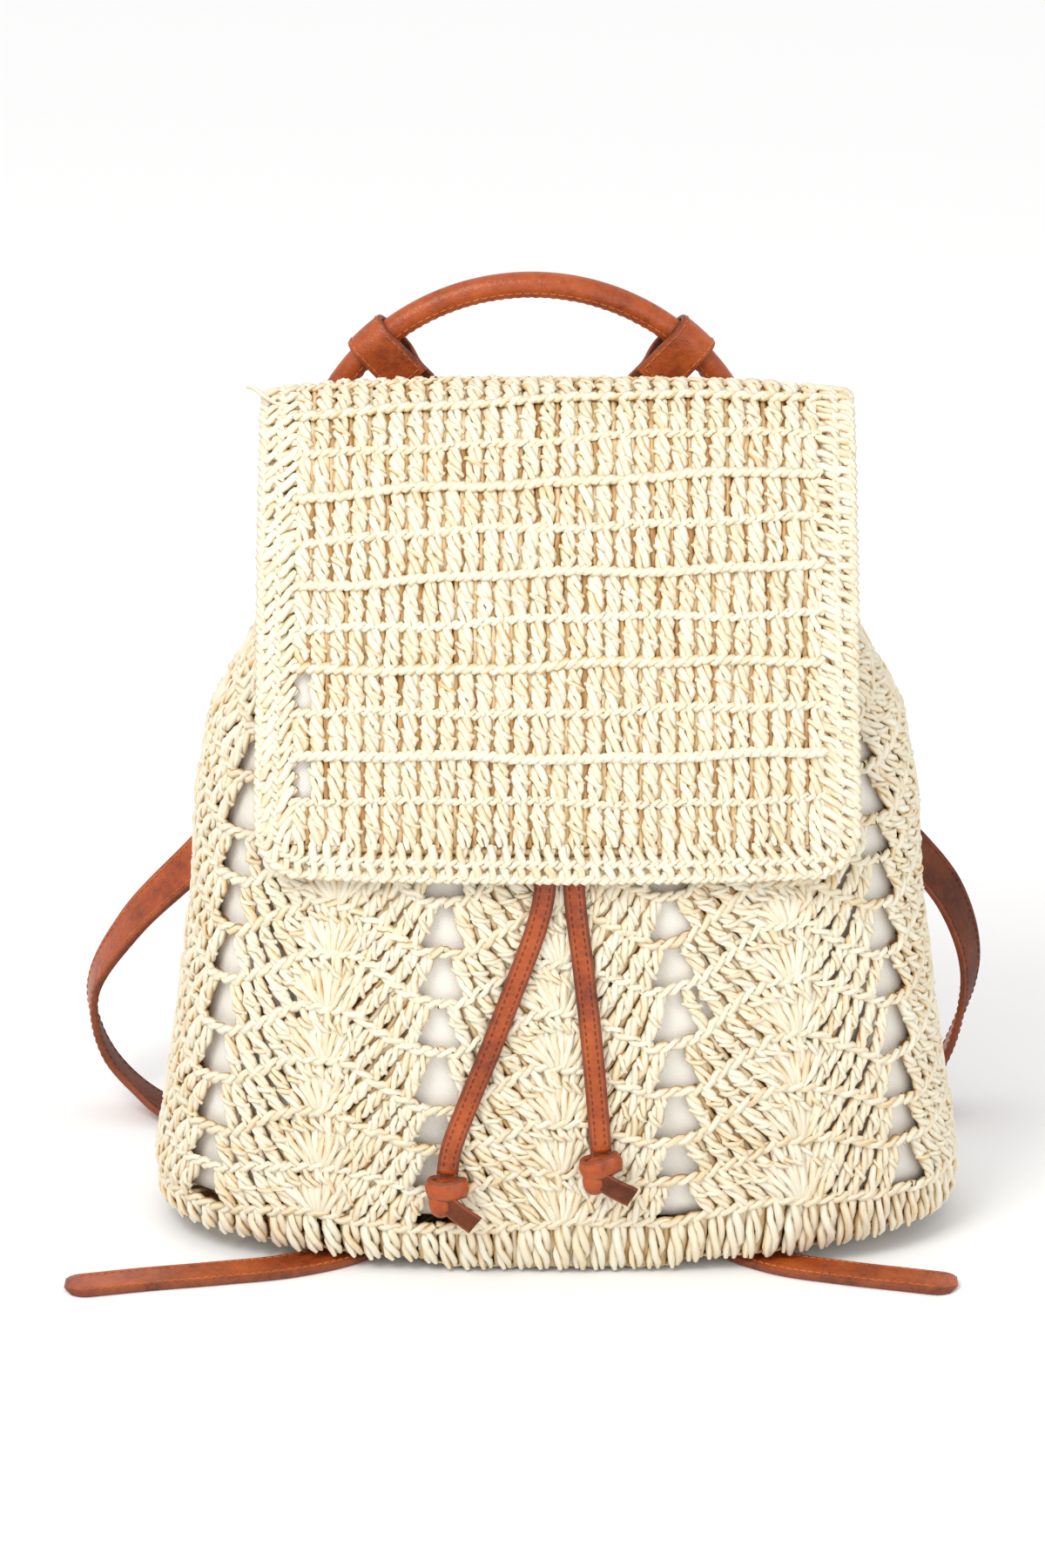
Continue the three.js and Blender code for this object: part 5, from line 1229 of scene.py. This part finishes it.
def lace(name, points, thread):
    path = smooth_path(np.array(points) / MM, LACE_STEPS)
    across = np.zeros_like(path) + (1.0, 0, 0)
    lean = unit(np.gradient(path, axis=0))
    across = across - lean * lean[:, :1]
    section = rounded_section(LACE_WIDTH + 0.9, LACE_THICKNESS - 0.3, 0.6, 1.2)
    probe = np.cross(lean, unit(across))
    across = across * (1 if probe[LACE_STEPS // 2, 1] < 0 else -1)
    piece, across, outward = swept(name, path, across, section)
    for offset in (-LACE_SEAM_OFFSET, LACE_SEAM_OFFSET):
        line = path[4:-2] + across[4:-2] * offset + outward[4:-2] * (LACE_THICKNESS / 2 + 0.18)
        thread.run(line, outward[4:-2], pitch=2.9, stitch=1.7, radius=0.34)
    length = float(lengths_along(path)[-1]) * MM
    stand_for_leather(piece)
    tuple(points[0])


def pad(name, centre, right, up, size, power=2.6):
    """A soft rounded cushion of leather, whose half sizes run right, forwards and up."""
    polar, turn = np.meshgrid(np.linspace(0.02, math.pi - 0.02, 14),
                              np.linspace(0, 2 * math.pi, 28, endpoint=False), indexing="ij")

    def curve(value):
        return np.sign(value) * np.abs(value) ** (2 / power)

    x = curve(np.sin(polar)) * curve(np.cos(turn)) * size[0]
    y = curve(np.sin(polar)) * curve(np.sin(turn)) * size[1]
    z = curve(np.cos(polar)) * size[2]
    points = centre + x[..., None] * right - y[..., None] * BACKWARDS + z[..., None] * up
    return grid_mesh(name, points, LEATHER, (20, 20), wrap=True)


KNOT_CENTRE = (0, -2.9, -5.0)  # from the lace's end
KNOT_TURN = (6.6, 3.0)  # half its width and half its depth
KNOT_TURN_WAVE = 0.5
KNOT_CORE = (7.0, 3.5, 3.9)
KNOT_LOBE_AT = (-2.6, -0.9, -6.6)
KNOT_LOBE = (4.6, 3.1, 5.4)
KNOT_LOBE_LEAN = 0.22
KNOT_STUB_AT = (-1.0, -1.9, -4.0)
KNOT_STUBS = ((0.0, 15.8), (-1.7, 14.4))  # how far below the first, and length, of the lace's cut ends
KNOT_STUB_WALL = 1.8


def knot_stub(name, start, along, layer):
    """One of the two layers of the lace that stick out of its knot."""
    drop, length = KNOT_STUBS[layer]
    line = smooth_path([start + (0, 0.8 * layer, drop), start + along * 6 + (0, -1.5, drop),
                        start + along * length + (0, 0.9 * layer - 0.9, drop * 1.5)], 30)
    wide = np.array([-along[2], -0.25 + 0.5 * layer, along[0]])
    section = rounded_section(LACE_WIDTH - 0.8, KNOT_STUB_WALL, 0.45, 0.7)
    return swept(f"{name}_end_{layer + 1}", line, np.zeros_like(line) - wide, section)[0]


def overhand_knot(name, end, tilt, stub_tilt):
    """A flat lace's overhand knot: a turn across it, the lobe under that and the cut ends that stick out."""
    end = np.array(end) / MM
    centre = end + KNOT_CENTRE
    turn = np.linspace(0, 2 * math.pi, 60)
    lean, stub_lean = math.radians(tilt), math.radians(stub_tilt)
    right = np.array([math.cos(lean), 0, -math.sin(lean)])
    up = np.array([math.sin(lean), 0, math.cos(lean)])
    ring = centre + KNOT_TURN[0] * np.cos(turn)[:, None] * right
    ring = ring - KNOT_TURN[1] * np.sin(turn)[:, None] * BACKWARDS
    ring = ring + KNOT_TURN_WAVE * np.sin(turn * 2 + 0.6)[:, None] * up
    turn_section = rounded_section(LACE_WIDTH + 0.9, 2.3, 1.0, 1.1)
    neck_section = rounded_section(LACE_WIDTH + 0.7, LACE_THICKNESS - 0.4, 0.6, 1.1)
    neck_line = smooth_path([end + (0, 0, 0.6), end + (0, -1.0, -2.5), centre], 16)
    lobe_right, lobe_up = np.array([0.97, 0, KNOT_LOBE_LEAN]), np.array([-KNOT_LOBE_LEAN, 0, 0.97])
    stub_along = np.array([math.cos(stub_lean), 0, -math.sin(stub_lean)])
    pieces = [
        swept(name + "_turn", ring, np.zeros_like(ring) - up, turn_section)[0],
        pad(name + "_core", centre, right, up, KNOT_CORE),
        swept(name + "_neck", neck_line, np.zeros_like(neck_line) - (1.0, 0, 0), neck_section)[0],
        pad(name + "_lobe", centre + KNOT_LOBE_AT, lobe_right, lobe_up, KNOT_LOBE, 2.3),
        *[knot_stub(name, centre + KNOT_STUB_AT, stub_along, layer) for layer in range(len(KNOT_STUBS))],
    ]
    for piece in pieces:
        stand_for_leather(piece, name.replace("leather_", ""))
    return pieces


def all_leather():
    thread = Thread()
    lace_thread = Thread()
    left_knot = overhand_knot("leather_knot_left", LACE_LEFT_POINTS[-1], 0, 38)
    right_knot = overhand_knot("leather_knot_right", LACE_RIGHT_POINTS[-1], -14, 28)
    lace("leather_lace_left", LACE_LEFT_POINTS, lace_thread)
    lace("leather_lace_right", LACE_RIGHT_POINTS, lace_thread)
    shoulder_strap("leather_shoulder_strap_left", -1, SHOULDER_LEFT, thread, lace_thread)
    shoulder_strap("leather_shoulder_strap_right", 1, SHOULDER_RIGHT, thread, lace_thread)
    strap_tail("leather_strap_tail_left", -1, TAIL_LEFT, thread)
    strap_tail("leather_strap_tail_right", 1, TAIL_RIGHT, thread)
    rolled_handle(thread)
    handle_tab("leather_handle_tab_left", -1, thread)
    handle_tab("leather_handle_tab_right", 1, thread)
    all_patches(thread)
    drawstring_strip()
    thread.make("leather_stitches", THREAD)
    lace_thread.make("leather_lace_stitches", LACE_THREAD)


def new_material(name):
    material = bpy.data.materials.new(name)
    material.use_nodes = True
    tree = material.node_tree
    tree.nodes.clear()
    output = tree.nodes.new("ShaderNodeOutputMaterial")
    shader = tree.nodes.new("ShaderNodeBsdfPrincipled")
    tree.links.new(shader.outputs[0], output.inputs[0])
    return material, tree, shader


def node(tree, kind, inputs=None, **settings):
    made = tree.nodes.new("ShaderNode" + kind)
    for key, value in settings.items():
        setattr(made, key, value)
    for key, value in (inputs or {}).items():
        if isinstance(value, bpy.types.NodeSocket):
            tree.links.new(value, made.inputs[key])
        else:
            made.inputs[key].default_value = value
    return made


def ramp(tree, factor, stops):
    made = tree.nodes.new("ShaderNodeValToRGB")
    tree.links.new(factor, made.inputs[0])
    elements = made.color_ramp.elements
    while len(elements) < len(stops):
        elements.new(0.5)
    for element, (at, colour) in zip(elements, stops):
        element.position = at
        element.color = (*colour, 1)
    return made.outputs[0]


def weighted(tree, *parts):
    """The sum of some outputs, each times its weight."""
    total = 0.0
    for output, weight in parts:
        total = node(tree, "Math", {0: output, 1: weight, 2: total}, operation="MULTIPLY_ADD").outputs[0]
    return total


def noise(tree, place, scale, detail, **inputs):
    return node(tree, "TexNoise", {"Vector": place, "Scale": scale, "Detail": detail, **inputs}).outputs[0]


def bump(tree, shader, height, strength, distance):
    made = node(tree, "Bump", {"Height": height, "Strength": strength, "Distance": distance})
    tree.links.new(made.outputs[0], shader.inputs["Normal"])


def straw_material():
    """Creased paper straw: streaks run along each strand, and each strand has its own tone. Painted shade
    darkens each strand's inner side and the strands deep in the stitches towards golden brown.
    """
    material, tree, shader = new_material("straw")
    uv = node(tree, "UVMap", uv_map="yarn").outputs[0]
    stretched = node(tree, "Mapping", {0: uv, 3: (7.0, 0.11, 1.0)}).outputs[0]
    streaks = noise(tree, stretched, 1.0, 4.0, Roughness=0.6)
    patches = node(tree, "Mapping", {0: uv, 3: (1.0, 0.03, 1.0)}).outputs[0]
    patchy = noise(tree, patches, 1.3, 2.0)
    tone = node(tree, "Attribute", attribute_name="tone").outputs["Fac"]
    crease = node(tree, "Attribute", attribute_name="crease").outputs["Fac"]
    # painted shade: the inner sides of strands and the deep strands are pulled towards the golden brown stops
    # below
    mixed = weighted(tree, (tone, 0.22), (streaks, 0.55), (patchy, 0.3), (crease, -0.5))
    colour = ramp(tree, mixed, [(0.08, (0.42, 0.22, 0.07)), (0.24, (0.66, 0.46, 0.22)),
                                (0.38, (0.745, 0.655, 0.475)), (0.6, (0.785, 0.742, 0.612))])
    tree.links.new(colour, shader.inputs["Base Color"])
    shader.inputs["Roughness"].default_value = 0.58
    shader.inputs["Specular IOR Level"].default_value = 0.35
    bump(tree, shader, streaks, 0.7, 0.0006)
    return material


def cloth_material():
    material, tree, shader = new_material("cloth")
    uv = node(tree, "UVMap", uv_map="cloth").outputs[0]
    twill = node(tree, "TexWave", {"Vector": uv, "Scale": 0.42, "Distortion": 0.6, "Detail": 1.0},
                 bands_direction="DIAGONAL").outputs[1]
    mixed = weighted(tree, (twill, 0.35), (noise(tree, uv, 0.02, 2.0), 0.65))
    colour = ramp(tree, mixed, [(0.2, (0.76, 0.735, 0.66)), (0.8, (0.9, 0.885, 0.83))])
    tree.links.new(colour, shader.inputs["Base Color"])
    shader.inputs["Roughness"].default_value = 0.85
    bump(tree, shader, twill, 0.35, 0.0002)
    return material


def leather_material(name, dark, middle, light, roughness, shine=0.4):
    """Smooth dyed leather with fine pores, cloudy dye and small dents. Waxed thread gets the same."""
    material, tree, shader = new_material(name)
    place = node(tree, "TexCoord").outputs["Object"]
    clouds = noise(tree, place, 60.0, 5.0, Roughness=0.6)
    pores = node(tree, "TexVoronoi", {"Vector": place, "Scale": 1100.0}, feature="F1").outputs[0]
    creases = noise(tree, place, 420.0, 3.0)
    mixed = weighted(tree, (clouds, 0.8), (creases, 0.3))
    colour = ramp(tree, mixed, [(0.38, dark), (0.55, middle), (0.75, light)])
    tree.links.new(colour, shader.inputs["Base Color"])
    shader.inputs["Roughness"].default_value = roughness
    shader.inputs["Specular IOR Level"].default_value = shine
    height = weighted(tree, (creases, 1.0), (pores, 0.5), (noise(tree, place, 150.0, 2.0), 1.6))
    bump(tree, shader, height, 0.6, 0.0004)
    return material


def add_camera():
    """The photograph's view: from the front and above, so that its middle falls on the framed point."""
    elevation = math.radians(20.9)
    distance = 4.0
    frame_height = 0.621
    sensor = 24
    target = Vector((-0.0136, 0.0107, 0.178))
    data = bpy.data.cameras.new("camera")
    data.sensor_fit = "VERTICAL"
    data.sensor_height = sensor
    data.lens = sensor * distance / frame_height
    camera = bpy.data.objects.new("camera", data)
    camera.location = target + distance * Vector((0, -math.cos(elevation), math.sin(elevation)))
    camera.rotation_euler = (math.pi / 2 - elevation, 0, 0)
    bpy.context.scene.collection.objects.link(camera)
    bpy.context.scene.camera = camera


def add_light(name, place, target, size, power, colour=(1, 1, 1)):
    data = bpy.data.lights.new(name, "AREA")
    data.size = size
    data.energy = power
    data.color = colour
    light = bpy.data.objects.new(name, data)
    light.location = place
    light.rotation_euler = (Vector(target) - Vector(place)).to_track_quat("-Z", "Y").to_euler()
    bpy.context.scene.collection.objects.link(light)


def add_stage():
    """A white floor, soft light from all round and two lamps."""
    material, tree, shader = new_material("backdrop")
    grain = node(tree, "TexNoise", {"Scale": 3.0}).outputs[0]
    colour = ramp(tree, grain, [(0.3, (0.875, 0.875, 0.875)), (0.7, (0.89, 0.89, 0.89))])
    tree.links.new(colour, shader.inputs["Base Color"])
    shader.inputs["Roughness"].default_value = 0.9
    bpy.ops.mesh.primitive_plane_add(size=12, location=(0, 0, -0.0002))
    floor = bpy.context.object
    floor.name = "floor"
    floor.data.materials.append(material)
    world = bpy.data.worlds.new("studio")
    world.use_nodes = True
    world.node_tree.nodes["Background"].inputs[0].default_value = (1, 1, 1, 1)
    world.node_tree.nodes["Background"].inputs[1].default_value = 1.0
    bpy.context.scene.world = world
    add_light("key", (-0.9, -1.3, 1.9), (0, 0, 0.15), 1.0, 27, (1, 0.985, 0.96))
    add_light("fill", (0.7, -1.6, 0.6), (0, 0, 0.12), 1.2, 6)


STRAW = straw_material()
CLOTH = cloth_material()
LEATHER = leather_material("leather", (0.18, 0.027, 0.004), (0.33, 0.058, 0.008), (0.43, 0.09, 0.016), 0.36)
EDGE = leather_material("leather_edge", (0.1, 0.02, 0.006), (0.2, 0.042, 0.012), (0.27, 0.06, 0.018), 0.55)
# the flesh side's own darker brown, darkened further as painted shade for strap faces that lie in shade
FLESH_AND_PAINTED_SHADE = leather_material("leather_flesh", (0.07, 0.015, 0.004), (0.115, 0.027, 0.008), (0.16, 0.042, 0.013),
                         0.6, shine=0.25)
THREAD = leather_material("thread", (0.32, 0.085, 0.02), (0.45, 0.13, 0.034), (0.55, 0.17, 0.05), 0.6)
LACE_THREAD = leather_material("lace_thread", (0.09, 0.016, 0.004), (0.15, 0.028, 0.006),
                               (0.22, 0.045, 0.01), 0.6)

add_camera()
all_leather()
for index in range(4):
    body_quarter(index, STRAW)
flap_field(STRAW)
flap_border(STRAW)
straw_base(STRAW)
cloth_lining(CLOTH)
cloth_flap_lining(CLOTH)
add_stage()
bpy.context.scene.view_settings.view_transform = "Standard"
